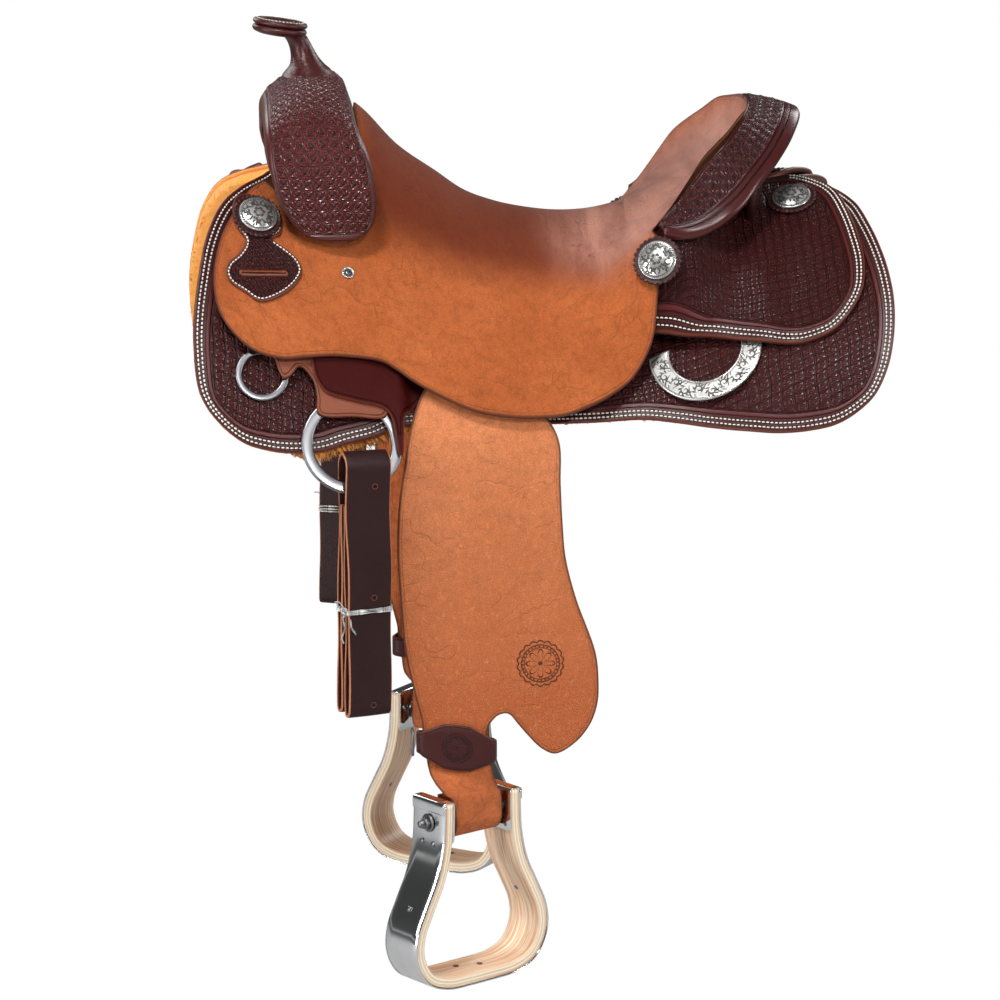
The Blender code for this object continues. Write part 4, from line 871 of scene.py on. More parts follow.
def leather_sheet(name, O, fn, d_low, d_high, side, body, mats=("burgundy", "edge", "flesh"), replaces=(), grid=.005, roundness=.0012, attrs=None, uv=None, shape=None, fine=None):
    V, F, mat, Q, D = sheet_mesh(O, fn, d_low, d_high, side, grid, roundness, fine)
    extra = {"edge_mm": D}
    for k, f in (attrs or {}).items():
        extra[k] = f(Q[:, 0], Q[:, 1], D)
    if shape is not None:
        V = shape(V, Q, D)
    return finish_mesh(name, V, F, mats, body, replaces, mat, uv_from_points(Q if uv is None else uv(Q)), extra)


def stitch_run(path3, normals, length=.0029, gap=.0012, radius=.00042, phase=0.0):
    """Small sunken-ended stitches along a 3-D path. Returns vertices and faces."""
    L = np.concatenate([[0], np.cumsum(np.linalg.norm(np.diff(path3, axis=0), axis=1))])
    at = lambda t: np.array([np.interp(t, L, path3[:, k]) for k in range(3)])
    nat = lambda t: np.array([np.interp(t, L, normals[:, k]) for k in range(3)])
    V, F = [], []
    t = phase
    m = 6
    while t + length < L[-1]:
        a, b = at(t), at(t + length)
        n = nat(t + length / 2)
        n /= np.linalg.norm(n) + 1e-12
        e = (b - a) / (np.linalg.norm(b - a) + 1e-12)
        w = np.cross(n, e)
        base = len(V)
        for q, (lift_, rr) in ((0, (-.5, .55)), (.2, (.35, .95)), (.5, (.6, 1.05)), (.8, (.35, .95)), (1, (-.5, .55))):
            c = a + (b - a) * q + n * radius * lift_
            for j in range(m):
                g = 2 * math.pi * j / m
                V.append(c + w * math.cos(g) * radius * rr + n * math.sin(g) * radius * rr)
        for i in range(4):
            for j in range(m):
                p, q_ = base + i * m + j, base + i * m + (j + 1) % m
                F.append((p, q_, q_ + m, p + m))
        F.append(tuple(base + j for j in range(m))[::-1])
        F.append(tuple(base + 4 * m + j for j in range(m)))
        t += length + gap
    return V, F


def stitches(name, runs, body, mat="thread", **kw):
    """runs: list of (points, normals) already on their side."""
    V, F = [], []
    for P, N in runs:
        v, f = stitch_run(np.asarray(P, float), np.asarray(N, float), **kw)
        base = len(V)
        V += v
        F += [tuple(i + base for i in g) for g in f]
    return finish_mesh(name, V, F, (mat,), body)


def surface_run(path2, fn, d, side):
    """A path in (x, s) carried onto a surface, with its normals."""
    x, s = path2[:, 0], path2[:, 1]
    e = 5e-4
    c = fn(x, s, d)
    n = fn(x, s, d + e) - c
    n /= np.linalg.norm(n, axis=1)[:, None]
    return c * (1, side, 1), n * (1, side, 1)


def loft_mesh(name, loops, mats, body, replaces=(), ring=False, side=1, caps=True, face_mat=None, attrs=None, uv_scale=1.0, smooth_all=True, uv=None):
    """Quads through a row of closed loops, with UVs in metres: u along the row, v round the loop."""
    L = np.asarray(loops, float).copy()
    L[..., 1] *= side
    n, m = L.shape[:2]
    cen = L.mean(1)
    steps = np.linalg.norm(np.diff(np.vstack([cen, cen[:1]]) if ring else cen, axis=0), axis=1)
    U = np.concatenate([[0], np.cumsum(steps)])
    seg = np.linalg.norm(np.roll(L, -1, 1) - L, axis=2)
    W = np.concatenate([np.zeros((n, 1)), np.cumsum(seg, 1)], 1)
    if uv == "middle":
        W = W - W[:, [(m - 4) // 2]]
    elif uv != "true":
        W = np.repeat(W.mean(0)[None], n, 0)
    faces, uvs, mi = [], [], []
    for i in range(n if ring else n - 1):
        k = (i + 1) % n
        for j in range(m):
            j2 = (j + 1) % m
            faces.append((i * m + j, i * m + j2, k * m + j2, k * m + j))
            uvs += [(U[i], W[i, j]), (U[i], W[i, j + 1]), (U[i + 1], W[k, j + 1]), (U[i + 1], W[k, j])]
            mi.append(0 if face_mat is None else face_mat(i, j))
    if caps and not ring:
        for loop, rev in ((range(m), False), (range((n - 1) * m, n * m), True)):
            loop = list(loop)
            faces.append(tuple(loop if not rev else loop[::-1]))
            pts = L.reshape(-1, 3)[loop if not rev else loop[::-1]]
            q = pts - pts.mean(0)
            uvs += [(float(p[0] + p[1]), float(p[2])) for p in q]
            mi.append(0 if face_mat is None else face_mat(-1, 0))
    V = L.reshape(-1, 3)
    mesh_attrs = {k: np.asarray(v, float).ravel() for k, v in (attrs or {}).items()}
    o = finish_mesh(name, V, faces, mats, body, replaces, mi, np.array(uvs) * uv_scale, mesh_attrs, smooth_all)
    bm = bmesh.new()
    bm.from_mesh(o.data)
    bmesh.ops.recalc_face_normals(bm, faces=bm.faces)
    if not ring and bm.calc_volume(signed=True) < 0 or ring and bm.calc_volume(signed=True) < 0:
        bmesh.ops.reverse_faces(bm, faces=bm.faces)
    bm.to_mesh(o.data)
    bm.free()
    return o


def revolve(name, at, profile, mats, body, side, replaces=(), n=64, wobble=None, attrs=None):
    """A turned shape on a surface frame. wobble(radius, height, angles) may scallop it."""
    c, tx, ts, nn = at
    a = np.linspace(0, 2 * np.pi, n, endpoint=False)
    loops, cut = [], []
    R = max(r for r, _ in profile)
    for r, h in profile:
        rr, hh = (r * np.ones(n), h * np.ones(n)) if wobble is None else wobble(r, h, a)
        loops.append(c + rr[:, None] * (np.cos(a)[:, None] * tx + np.sin(a)[:, None] * ts) + hh[:, None] * nn)
        cut.append(rr)
    L = np.array(loops)
    o = loft_mesh(name, L, mats, body, replaces, side=side, attrs={"cut_k": smooth(R * .97, R * .80, np.array(cut)), "edge_mm": (R - np.array(cut)) * 1000})
    # planar UVs, centred on the axis
    mesh = o.data
    idx = np.empty(len(mesh.loops), np.int32)
    mesh.loops.foreach_get("vertex_index", idx)
    co = np.empty(len(mesh.vertices) * 3)
    mesh.vertices.foreach_get("co", co)
    co = co.reshape(-1, 3) - c * (1, side, 1)
    uv = np.stack([co @ (tx * (1, side, 1)), co @ (ts * (1, side, 1))], 1)
    mesh.uv_layers["Flat"].data.foreach_set("uv", uv[idx].astype(np.float32).ravel())
    return o


# ================================================================ outlines, in (x, s) millimetres
SKIRT_OUT = mm([(-268, 12), (-282, 29), (-302, 55), (-324, 94), (-341, 146), (-349, 191), (-354, 231), (-355, 264), (-350, 304), (-338, 318),
                (-311, 327), (-281, 321), (-251, 309), (-229, 298), (-206, 282), (-179, 266), (-158, 251), (-125, 240), (-80, 232), (-30, 228),
                (30, 229), (82, 234), (114, 246), (146, 263), (178, 282), (210, 301), (241, 315), (265, 322), (285, 321), (302, 314), (315, 296),
                (323, 270), (327, 236), (326, 202), (322, 166), (316, 128), (308, 87), (294, 50), (279, 26), (262, 10), (200, 5), (100, 5),
                (0, 5), (-100, 5), (-200, 5), (-250, 6)])
HOUSING_OUT = mm([(236, 3), (252, 10), (266, 24), (279, 43), (290, 66), (297, 103), (302, 143), (304, 176), (299, 205), (286, 222), (268, 232),
                  (244, 230), (215, 218), (183, 198), (152, 180), (118, 168), (96, 162), (84, 158), (82, 140), (88, 118), (100, 101),
                  (120, 100), (140, 96), (158, 89), (176, 78), (191, 61), (201, 40), (206, 20), (210, 3)])
JOCKEY_EDGE = mm([(104, 112), (104, 124), (103, 136), (101, 149), (97, 167), (90, 180), (75, 198), (50, 214), (26, 224), (6, 230), (-24, 232),
                  (-54, 232), (-84, 229), (-113, 221), (-141, 211), (-158, 203), (-172, 199), (-212, 207), (-245, 221), (-267, 232), (-287, 237),
                  (-302, 237), (-317, 231), (-329, 219), (-334, 198), (-332, 170), (-325, 140), (-314, 111), (-297, 73), (-282, 51)])
FORK_CUT = mm([(-282, 51), (-266, 60), (-250, 72), (-232, 82), (-205, 88), (-190, 80), (-188, 60), (-189, 30)])
RIG_LOW_OUT = mm([(-272, 210), (-276, 232), (-269, 248), (-262, 244), (-251, 229), (-240, 236), (-236, 250), (-235, 267), (-200, 257),
                  (-168, 246), (-168, 225), (-168, 190), (-180, 168), (-210, 162), (-260, 178)])
RIG_TOP_OUT = mm([(-242, 190), (-241, 214), (-237, 234), (-228, 244), (-200, 243), (-170, 241), (-164, 247), (-160, 266), (-157, 280), (-154, 281),
                  (-152, 262), (-150, 242), (-142, 231), (-128, 214), (-121, 198), (-126, 180), (-160, 170), (-220, 176)])
KEEPER_OUT = mm([(-314, 112), (-311, 124), (-302, 133), (-308, 150), (-319, 166), (-322, 178), (-317, 185), (-303, 187), (-290, 189), (-268, 173), (-252, 153),
                 (-247, 139), (-252, 129), (-265, 123), (-275, 119), (-267, 110), (-265, 96), (-271, 84), (-284, 78), (-300, 82), (-311, 94)])
FENDER_OUT = mm([(-112, -52), (-114, -70), (-120, -92), (-128, -108), (-135, -119), (-145, -145), (-151, -179), (-157, -220), (-159, -261), (-157, -306),
                 (-152, -366), (-144, -406), (-136, -438), (-132, -457), (-100, -459), (-72, -457), (-71, -450), (-68, -443), (-60, -434.5), (-50, -433),
                 (-40, -444), (-30, -456), (-17, -469), (-3, -475), (17, -464), (32, -445), (39, -424), (40, -403), (37, -373), (17, -316),
                 (7, -276), (4, -244), (2, -203), (1, -162), (-7, -143), (-28, -122), (-48, -99), (-61, -75), (-66, -52)])
fender_y = curve1([(-.60, .2010), (-.46, .2005), (-.30, .1990), (-.20, .1970), (-.155, .1930), (-.135, .1860), (-.12, .1778), (-.10, .1645),
                   (-.08, .1522), (-.06, .1385), (-.04, .1225), (-.02, .105)])
SWELL = mm([(124, 29, -222, -205, 1.2), (126, 34, -240, -186, 1.5), (129, 45, -254.5, -176, 2.0), (134, 66, -267.5, -173, 2.8), (137, 88, -274.5, -175, 4.0), (136, 106, -278, -178, 5.6),
            (130, 121, -279.5, -182, 8.5), (115, 137, -281, -188, 12.5), (90, 148, -281.5, -191, 17), (60, 155, -281, -191.5, 21), (30, 158, -280.5, -191.5, 23.5), (0, 158, -280.5, -191.5, 24)])
RIDGE = mm([(209, 0, 157), (208, 22, 156), (202, 53, 150), (192, 82, 140.5), (179, 103, 127), (165, 115, 114), (150, 121.5, 99), (138, 125.5, 84),
            (124, 128, 67), (105, 130, 48)])
RIM = mm([(265, 0, 145), (263, 20, 144), (257, 46, 138), (245, 78, 122), (228, 105, 102), (206, 130, 81), (191, 141, 65.5), (171, 150, 51),
          (148, 153, 40), (124, 152, 38), (110, 147, 42)])
FLEECE_D, SKIRT_D, RIG_LOW_D, RIG_TOP_D, HOUSING_D = (0.0, .0112), (.0120, .0180), (.0276, .0304), (.0314, .0348), (.0196, .0252)
FENDER_T, LEATHER_T, LEATHER_W, LATIGO_W, LOOP_R, BOLT_R = .0050, .0040, .064, .045, .0130, .0040
STIRRUP_PIVOT, STIRRUP_YAW, STIRRUP_DEPTH, CONCHO_R, HORN_CAP_R = (-.0900, .1935, -.5370), math.radians(-35), .050, .0192, .0275

# ================================================================ skirts, fleece, housing
skirt_loop = spline(SKIRT_OUT, .003, closed=True)
housing_loop = spline(HOUSING_OUT, .003, closed=True)
rng = np.random.default_rng(7)


def parallel(O, w, step=.002, keep=None):
    """A line at distance w inside an outline, as open runs where keep(x, s) holds."""
    I = resample(inset(O, w), step, closed=True)
    ok, near = poly_distance(I, O)
    good = ok & (near > w * .93)
    if keep is not None:
        good &= keep(I[:, 0], I[:, 1])
    runs, cur = [], []
    if good.all():
        return [np.vstack([I, I[:1]])]
    start = int(np.argmin(good))
    for k in range(len(I)):
        i = (start + k) % len(I)
        if good[i]:
            cur.append(I[i])
        elif cur:
            runs.append(np.array(cur))
            cur = []
    if cur:
        runs.append(np.array(cur))
    return [r for r in runs if len(r) > 4]


housing_rim = spline(HOUSING_OUT[:18], .003)


def run_uv(fn, d, start=0.0):
    """UVs in real metres: along x, and down the surface from the ridge."""
    def make(Q):
        steps = np.linspace(0, 1, 50)
        S = Q[:, 1][:, None] * steps[None, :]
        X = np.repeat(Q[:, 0][:, None], len(steps), 1)
        P = fn(X.ravel(), S.ravel(), d).reshape(len(Q), len(steps), 3)
        return np.stack([Q[:, 0], np.linalg.norm(np.diff(P, axis=1), axis=2).sum(1)], 1)
    return make


def housing_edge(x, s, d):
    """Distance in mm to the housing's outer edge alone, so that the stamps run on under the cantle."""
    P = np.stack([x, s], 1)
    near = np.full(len(P), 9.0)
    for a, b in zip(housing_rim[:-1], housing_rim[1:]):
        t = np.clip(((P - a) @ (b - a)) / ((b - a) @ (b - a)), 0, 1)
        near = np.minimum(near, np.linalg.norm(P - a - t[:, None] * (b - a), axis=1))
    return near * 1000


for tag, side in LR:
    skirt_hide = leather_sheet(f"skirt_leather_{tag}", skirt_loop, back, .0143, SKIRT_D[1], side, "saddle", ("tooled", "edge", "fleece", "edge_dark"), (f"skirt_{tag}",), grid=.0045, roundness=.0018, uv=run_uv(back, SKIRT_D[1]),
                  fine=(.0027, lambda x, s: (s > .205) | (x > .270) | (x < -.325) | ((x > .06) & (s > .150))), shape=stamped(.0108, .00045, 17.0, (12.2, 16.0), None, run_uv(back, SKIRT_D[1])))
    for face in skirt_hide.data.polygons:
        # behind the seat the wool stops short of the ridge, and the hide's underside there is given the dark edge
        # colour
        if face.material_index == 2 and face.center.x > 0:
            face.material_index = 3
    leather_sheet(f"housing_leather_{tag}", housing_loop, housing, HOUSING_D[0], HOUSING_D[1], side, "saddle", ("housing", "edge_dark", "edge_dark"), (f"rear_housing_{tag}",), grid=.0040, roundness=.0020, attrs={"edge_mm": housing_edge}, uv=run_uv(housing, HOUSING_D[1]),
                  fine=(.0023, lambda x, s: x > -9), shape=stamped(.0092, .00040, 16.0, (11.6, 14.8), housing_edge, run_uv(housing, HOUSING_D[1])))
    runs = []
    for w in (.0042, .0083):
        for r in parallel(skirt_loop, w, keep=lambda x, s: s > .012):
            runs.append(surface_run(r, back, SKIRT_D[1], side))
    stitches(f"skirt_stitching_{tag}", runs, "saddle", length=.0031, gap=.0013, radius=.00080)
    runs = []
    for w in (.0040, .0079):
        for r in parallel(housing_loop, w, keep=lambda x, s: (s > .145) | (x > .25)):
            runs.append(surface_run(r, housing, HOUSING_D[1], side))
    stitches(f"housing_stitching_{tag}", runs, "saddle", length=.0031, gap=.0013, radius=.00080)
    # wool: a soft lumpy sheet cut a little inside the skirt, with curls along its edge
    away = smooth(-.27, -.22, skirt_loop[:, 0])[:, None]
    wool_loop = resample(inset(skirt_loop, .0006) * (1 - away) + inset(skirt_loop, .0045) * away, .003, closed=True)
    V, F, mat, Q, D = sheet_mesh(wool_loop, back, FLEECE_D[0] + .001, .0140, side, .006, .0045)
    n = len(Q) // 2
    lump = (np.sin(Q[:, 0] * 410 + 3 * np.sin(Q[:, 1] * 260)) * np.sin(Q[:, 1] * 390 + 2 * np.sin(Q[:, 0] * 300)) * .0004)
    V[n:] += (V[:n] - V[n:]) / np.linalg.norm(V[:n] - V[n:], axis=1)[:, None] * (lump[n:, None])
    wool = finish_mesh(f"fleece_wool_{tag}", V, F, ("fleece",), "saddle", (f"fleece_{tag}",), [0] * len(F), uv_from_points(Q), {"edge_mm": D})
    V, F = [], []
    edge_pts = resample(wool_loop, .0011, closed=True)
    tang = np.roll(edge_pts, -1, 0) - np.roll(edge_pts, 1, 0)
    tang /= np.linalg.norm(tang, axis=1)[:, None]
    outw = np.stack([tang[:, 1], -tang[:, 0]], 1)
    if poly_distance(edge_pts[:1] + outw[:1] * .002, wool_loop)[0][0]:
        outw = -outw
    for i in range(len(edge_pts)):
        x, s_ = edge_pts[i]
        if s_ < .02:
            continue
        long = .20 + 1.9 * float(smooth(-.27, -.24, x) * (1 - smooth(-.16, -.13, x)) * smooth(.22, .25, s_))
        if long < .5 and i % 2:
            continue
        for j in range(2 if long > .6 else 1):
            d0 = FLEECE_D[0] + .0015 + rng.random() * .0085
            q0 = edge_pts[i] + outw[i] * (-.0020 + .001 * rng.random())
            q1 = q0 + outw[i] * (.0022 + .0022 * rng.random()) * long + tang[i] * (rng.random() - .5) * .004
            q2 = q0 + outw[i] * (.0036 + .0030 * rng.random()) * long + tang[i] * (rng.random() - .5) * .006
            C = [back(q0[0], q0[1], d0), back(q1[0], q1[1], d0 + (rng.random() - .5) * .002), back(q2[0], q2[1], d0 + (rng.random() - .6) * .004)]
            C = [c_ * (1, side, 1) for c_ in C]
            e1 = np.array([1.0, 0, 0]); e2 = np.array([0, .6, .8])
            base_i = len(V)
            for c_, rr in zip(C, (.0011, .0009, .0003)):
                for g in range(4):
                    V.append(c_ + e1 * math.cos(g * math.pi / 2) * rr + e2 * math.sin(g * math.pi / 2) * rr)
            for r_ in range(2):
                for g in range(4):
                    F.append((base_i + r_ * 4 + g, base_i + r_ * 4 + (g + 1) % 4, base_i + r_ * 4 + 4 + (g + 1) % 4, base_i + r_ * 4 + 4 + g))
            F.append((base_i + 8, base_i + 9, base_i + 10, base_i + 11))
    finish_mesh(f"fleece_curls_{tag}", V, F, ("fleece",), "saddle")

# ================================================================ seat and jockeys
rim_a = np.linspace(0, math.pi / 2, 60)
rim_edge = np.stack([RIM_X + RIM_A * np.cos(rim_a) ** (2 / RIM_N), RIM_S * np.sin(rim_a) ** (2 / RIM_N)], 1)
half = np.vstack([resample(rim_edge, .003), spline(JOCKEY_EDGE, .003), spline(FORK_CUT, .003)[1:]])
half = half[half[:, 1] > .002]
seat_loop = np.vstack([[(RIM_X + RIM_A, 0)], half, [(-.189, 0)], half[::-1] * (1, -1)])
keepers = np.concatenate([[True], np.linalg.norm(np.diff(seat_loop, axis=0), axis=1) > 6e-4])
seat_loop = seat_loop[keepers]


def seat_k(x, s, d):
    """Where the seat is smooth and worn: the dish and the face of the cantle."""
    s = np.abs(s)
    r = np.sqrt(((x - .09) / .13) ** 2 + (s / .115) ** 2)
    return (1 - smooth(.65, 1.15, r)) * smooth(-.03, .05, x)


def seat_burn(x, s, d):
    """Painted shade: the saddle's middle, in front of the dish, is coloured darker for the shade below the swell."""
    s = np.abs(s)
    return (1 - smooth(.060, .118 + .10 * np.clip(x + .05, -.06, .10), s)) * (1 - smooth(.03, .12, x)) * smooth(-.21, -.17, x)


leather_sheet("seat_hide", seat_loop, seat, SEAT_D - SEAT_T, SEAT_D, 1, "saddle", ("seat", "edge_dark", "flesh"), ("seat_leather",), grid=.0048, roundness=.0018, attrs={"seat_k": seat_k, "seat_burn": seat_burn})

# ================================================================ rigging
rig_cover = lambda x, s, d: back(x, s, d - .0112 * smooth(-.153, -.143, x))
for tag, side in LR:
    leather_sheet(f"rigging_lower_{tag}", resample(spline(RIG_LOW_OUT, .003, closed=True), .003, closed=True), back, RIG_LOW_D[0], RIG_LOW_D[1], side, "saddle", ("rolled", "edge", "flesh"), (f"rigging_plate_{tag}",), grid=.004, roundness=.0013)
    leather_sheet(f"rigging_upper_{tag}", spline(RIG_TOP_OUT, .0025, closed=True), rig_cover, RIG_TOP_D[0], RIG_TOP_D[1], side, "saddle", ("burgundy_edge", "edge", "flesh"), (f"rigging_cover_{tag}",), grid=.004, roundness=.0016)

# ================================================================ concho keepers
for tag, side in LR:
    loop = spline(KEEPER_OUT, .002, closed=True)
    leather_sheet(f"keeper_{tag}", loop, seat, SEAT_D + .0005, SEAT_D + .0032, side, "saddle", ("keeper", "edge_dark", "flesh"), (f"latigo_keeper_{tag}",), grid=.003, roundness=.0010)
    runs = [surface_run(r, seat, SEAT_D + .0032, side) for r in parallel(loop, .0026, keep=lambda x, s: s > .1)]
    stitches(f"keeper_stitching_{tag}", runs, "saddle", length=.0028, gap=.0010, radius=.00068)
    # the slot for the strap's end, with its worn raw lip and a near-black strip inside it as painted shade
    a_, b_ = np.array([-.3060, .1700]), np.array([-.2640, .1500])
    ax_ = (b_ - a_) / np.linalg.norm(b_ - a_)
    nx_ = np.array([-ax_[1], ax_[0]])
    for part_, half_w_, lift_, mat_ in (("lip", .0030, .0040, "rolled"), ("gap", .0012, .0042, "hole")):
        t_ = np.linspace(0, 2 * math.pi, 60, endpoint=False)
        cap_ = np.stack([np.cos(t_), np.sin(t_)], 1)
        loop_ = np.array([(b_ if q[0] > 0 else a_) + ax_ * q[0] * half_w_ + nx_ * q[1] * half_w_ for q in cap_])
        leather_sheet(f"keeper_slot_{part_}_{tag}", loop_, seat, SEAT_D + .0026, SEAT_D + lift_, side, "saddle", (mat_, mat_, mat_), grid=.003, roundness=.0008)

# ================================================================ swell and horn
sw = spline(SWELL, .0020)
sw[-1, 0] = 0
both = np.vstack([sw, sw[-2::-1] * (-1, 1, 1, 1, 1)])
path, front, rear, swollen = both[:, :2], both[:, 2], both[:, 3], both[:, 4]
tangent = np.gradient(path, axis=0)
tangent /= np.linalg.norm(tangent, axis=1)[:, None]
inward = np.stack([-tangent[:, 1], tangent[:, 0]], 1)
arc = np.concatenate([[0], np.cumsum(np.linalg.norm(np.diff(path, axis=0), axis=1))])
tip = np.minimum(arc, arc[-1] - arc)
crown = lambda t: (1 - (1 - np.minimum(t / .42, 1)) ** 1.6) * (1 - np.maximum((t - .62) / .38, 0) ** 4)
loops, E, UVW = [], [], []
for i in range(len(path)):
    f, r = front[i], rear[i]
    deep = float(np.clip(.0032 + .55 * tip[i], .0032, .028))
    c = min(.0062, (r - f) / 3.2, deep * .6)
    high = lambda x: -swollen[i] * float(crown((x - f) / (r - f)))
    out = [(f, deep), (f, c + (deep - c) * .5)]
    edge = [0, 0]
    k = 7
    for q in range(k + 1):
        g = q / k * math.pi / 2
        x = f + c * (1 - math.cos(g))
        out.append((x, c * (1 - math.sin(g)) + high(x) * (q / k)))
        edge.append(1 + c * g)
    m = 60
    for q in range(1, m):
        w = q / m
        x = f + c + (r - f - 2 * c) * w
        out.append((x, high(x) - .0014 * math.sin(math.pi * w) ** .5))
        edge.append(1 + c * math.pi / 2 + min(x - f - c, r - c - x))
    for q in range(k, -1, -1):
        g = q / k * math.pi / 2
        x = r - c * (1 - math.cos(g))
        out.append((x, c * (1 - math.sin(g)) + high(x) * (q / k)))
        edge.append(1 + c * g)
    out += [(r, c + (deep - c) * .5), (r, deep)]
    edge += [0, 0]
    w = min(.0060, (r - f) / 3)
    top = min(.0060, deep - .0012)
    out += [(r - w, deep), (r - w, top), (f + w, top), (f + w, deep)]
    edge += [0] * 4
    loops.append([(x, *(path[i] + inward[i] * n)) for x, n in out])
    E.append([min(e - 1, tip[i]) * 1000 if e > 0 else -1 for e in edge])
swell = loft_mesh("swell_leather", loops, ("swell",), "saddle", ("swell_cover",), attrs={"edge_mm": E}, uv="middle")
emboss(swell, .0115, .00050, "edge_mm", lambda k: smooth(9.1, 10.5, k))

ang = np.linspace(0, 2 * np.pi, 72, endpoint=False)
neck = spline([(.1772, -.2330, .0275, .043), (.1800, -.2326, .0262, .040), (.1840, -.2322, .0235, .034), (.1885, -.2322, .0205, .029), (.193, -.2345, .0172, .024), (.200, -.2375, .0140, .0185), (.209, -.2410, .0122, .0155), (.2150, -.2440, .0122, .0160), (.2195, -.2475, .0135, .0180), (.2215, -.2510, .0160, .0205)], .0012)
loft_mesh("horn_neck_leather", [[(x + rx * math.cos(a), ry * math.sin(a), z - (.10 + .04 * smooth(.205, .22, z)) * rx * math.cos(a) - .0020 * smooth(.190, .180, z) * 0) for a in ang] for z, x, rx, ry in neck], ("burgundy",), "saddle", ("horn_neck",), uv="true")
TILT = math.radians(8)


def cap_loops(rows):
    return [[(-.2625 + r * math.cos(a) * math.cos(TILT) + h * math.sin(TILT), r * 1.06 * math.sin(a), .2250 - r * math.cos(a) * math.sin(TILT) + h * math.cos(TILT)) for a in ang] for r, h in rows]


R = HORN_CAP_R
loft_mesh("horn_cap_under", cap_loops(spline([(.010, -.0046), (.0190, -.0042), (R - .0050, -.0033), (R - .0015, -.0017), (R, .0008), (R - .0002, .0024), (R - .0016, .0040), (R - .004, .0045)], .0008)), ("burgundy",), "saddle", ("horn_cap_lower",), uv="true")
loft_mesh("horn_cap_upper", cap_loops(spline([(R - .0034, .0047), (R - .0012, .0055), (R, .0070), (R - .0003, .0088), (R - .0018, .0103), (R - .0045, .0108), (R - .0060, .0103), (R * .5, .0106), (.003, .0106)], .0008)), ("burgundy",), "saddle", ("horn_cap_top",), uv="true")
stitches("horn_cap_stitching", [(np.array(cap_loops([(R - .0034, .0109)])[0] + cap_loops([(R - .0034, .0109)])[0][:1]), np.tile([math.sin(TILT), 0, math.cos(TILT)], (73, 1)))], "saddle", length=.0026, gap=.0012, radius=.0004)

# ================================================================ cantle roll
ridge_h, rim_h = spline(RIDGE, n=150), spline(RIM, n=150)
mirror = (1, -1, 1)
ridge_c = np.vstack([ridge_h[::-1], ridge_h[1:] * mirror])
rim_c = np.vstack([rim_h[::-1], rim_h[1:] * mirror])
roll, E = [], []
for i, (a, b) in enumerate(zip(ridge_c, rim_c)):
    w = b - a
    wide = np.linalg.norm(w)
    e = w / wide
    dn = np.array([0, 0, -1.0]) - e * -e[2]
    dn /= np.linalg.norm(dn)
    ctrl = [(.0020, .0005), (.12 * wide, -.0006), (.25 * wide, -.0010), (.40 * wide, -.0013), (.55 * wide, -.0012), (.68 * wide, -.0007), (.80 * wide, .0), (wide - .0035, .0018), (wide - .0008, .0042), (wide + .0005, .0080),
            (wide - .0002, .0108), (wide - .0030, .0125), (wide - .0060, .0105), (.70 * wide, .0075), (.35 * wide, .0070), (.0020, .0075), (.0004, .0040)]
    sec = spline(ctrl, n=96, closed=True)
    roll.append([a + e * p + dn * q for p, q in sec])
    E.append([(p / wide) * 100 if q < .0045 else 200 for p, q in sec])


def roll_mat():
    """The roll's top is stamped, then two grooves run along it and its turned-down edge is smooth."""
    t = Tree("tooled_roll_band")
    uv = t.uv()
    k = t.attr("across")
    h, groove, ring, _ = stamp_height(t, uv, .0115)
    inside = band(t, k, 7.0, 64.0, 2.0)
    lines = t.math("MAXIMUM", band(t, k, 67.0, 70.0, 1.0), t.math("MAXIMUM", band(t, k, 78.0, 81.0, 1.0), band(t, k, 3.0, 5.0, .8)))
    mottle = t.noise(uv, 28.0, 4.0, .6)
    grain = t.noise(uv, 1200.0, 2.0)
    H = t.math("MULTIPLY", t.math("MULTIPLY", h, inside), 1.0)
    H = t.math("SUBTRACT", H, t.math("MULTIPLY", lines, .9))
    H = t.math("ADD", H, t.math("MULTIPLY", grain, .04))
    dark = t.math("MULTIPLY", inside, t.math("ADD", t.math("MULTIPLY", groove, .70), t.math("MULTIPLY", ring, .85)), clamp=True)
    base = t.mix(mottle, (.050, .0078, .0078), (.090, .0130, .0125))
    base = t.mix(t.rng(k, 64.0, 72.0), base, (.060, .0105, .0100))
    # painted shade: the stamps' cut lines and moats, and the grooves along the roll on the next line, are coloured
    # near-black for the shade in them
    base = t.mix(t.math("MULTIPLY", dark, .95), base, (.0050, .0014, .0018))
    base = t.mix(t.math("MULTIPLY", lines, .85), base, (.010, .003, .0035))
    rough = t.math("ADD", t.rng(mottle, .2, .8, .18, .28, "LINEAR"), t.math("MULTIPLY", dark, .40))
    return t.done(base, rough, t.bump(H, .0024), **{"Specular IOR Level": .45})


M["roll_band"] = roll_mat()
rolled = loft_mesh("cheyenne_roll_leather", roll, ("roll_band",), "saddle", ("cheyenne_roll",), attrs={"across": E}, uv="true")
emboss(rolled, .0115, .00045, "across", lambda k: smooth(6.0, 9.0, k) * (1 - smooth(62.0, 65.0, k)))

# cantle back: a short wall of dark leather far under the roll, painted shade standing for the shadow there
wall = []
for a, b in zip(ridge_c, rim_c):
    if abs(a[1]) > .088:
        continue
    e = (b - a) * (1, 1, 0)
    e /= np.linalg.norm(e)
    hi = min(a[2], b[2] + .35 * (a[2] - b[2])) - .0165
    rows = []
    for off, up_ in ((.019, 0), (.0205, -.25), (.0195, -.6), (.0165, -1), (.0085, -1), (.0110, -.6), (.0115, -.25), (.0100, 0)):
        q = a + e * (off - .0005)
        low = float(housing(q[0], min(abs(q[1]), .2), HOUSING_D[1])[2]) + .002
        rows.append([q[0], q[1], hi + (hi - max(low, q[2] - .12)) * up_ * .9])
    wall.append(rows)
loft_mesh("cantle_lining", wall, ("dark",), "saddle", ("cantle_back",), uv="true")

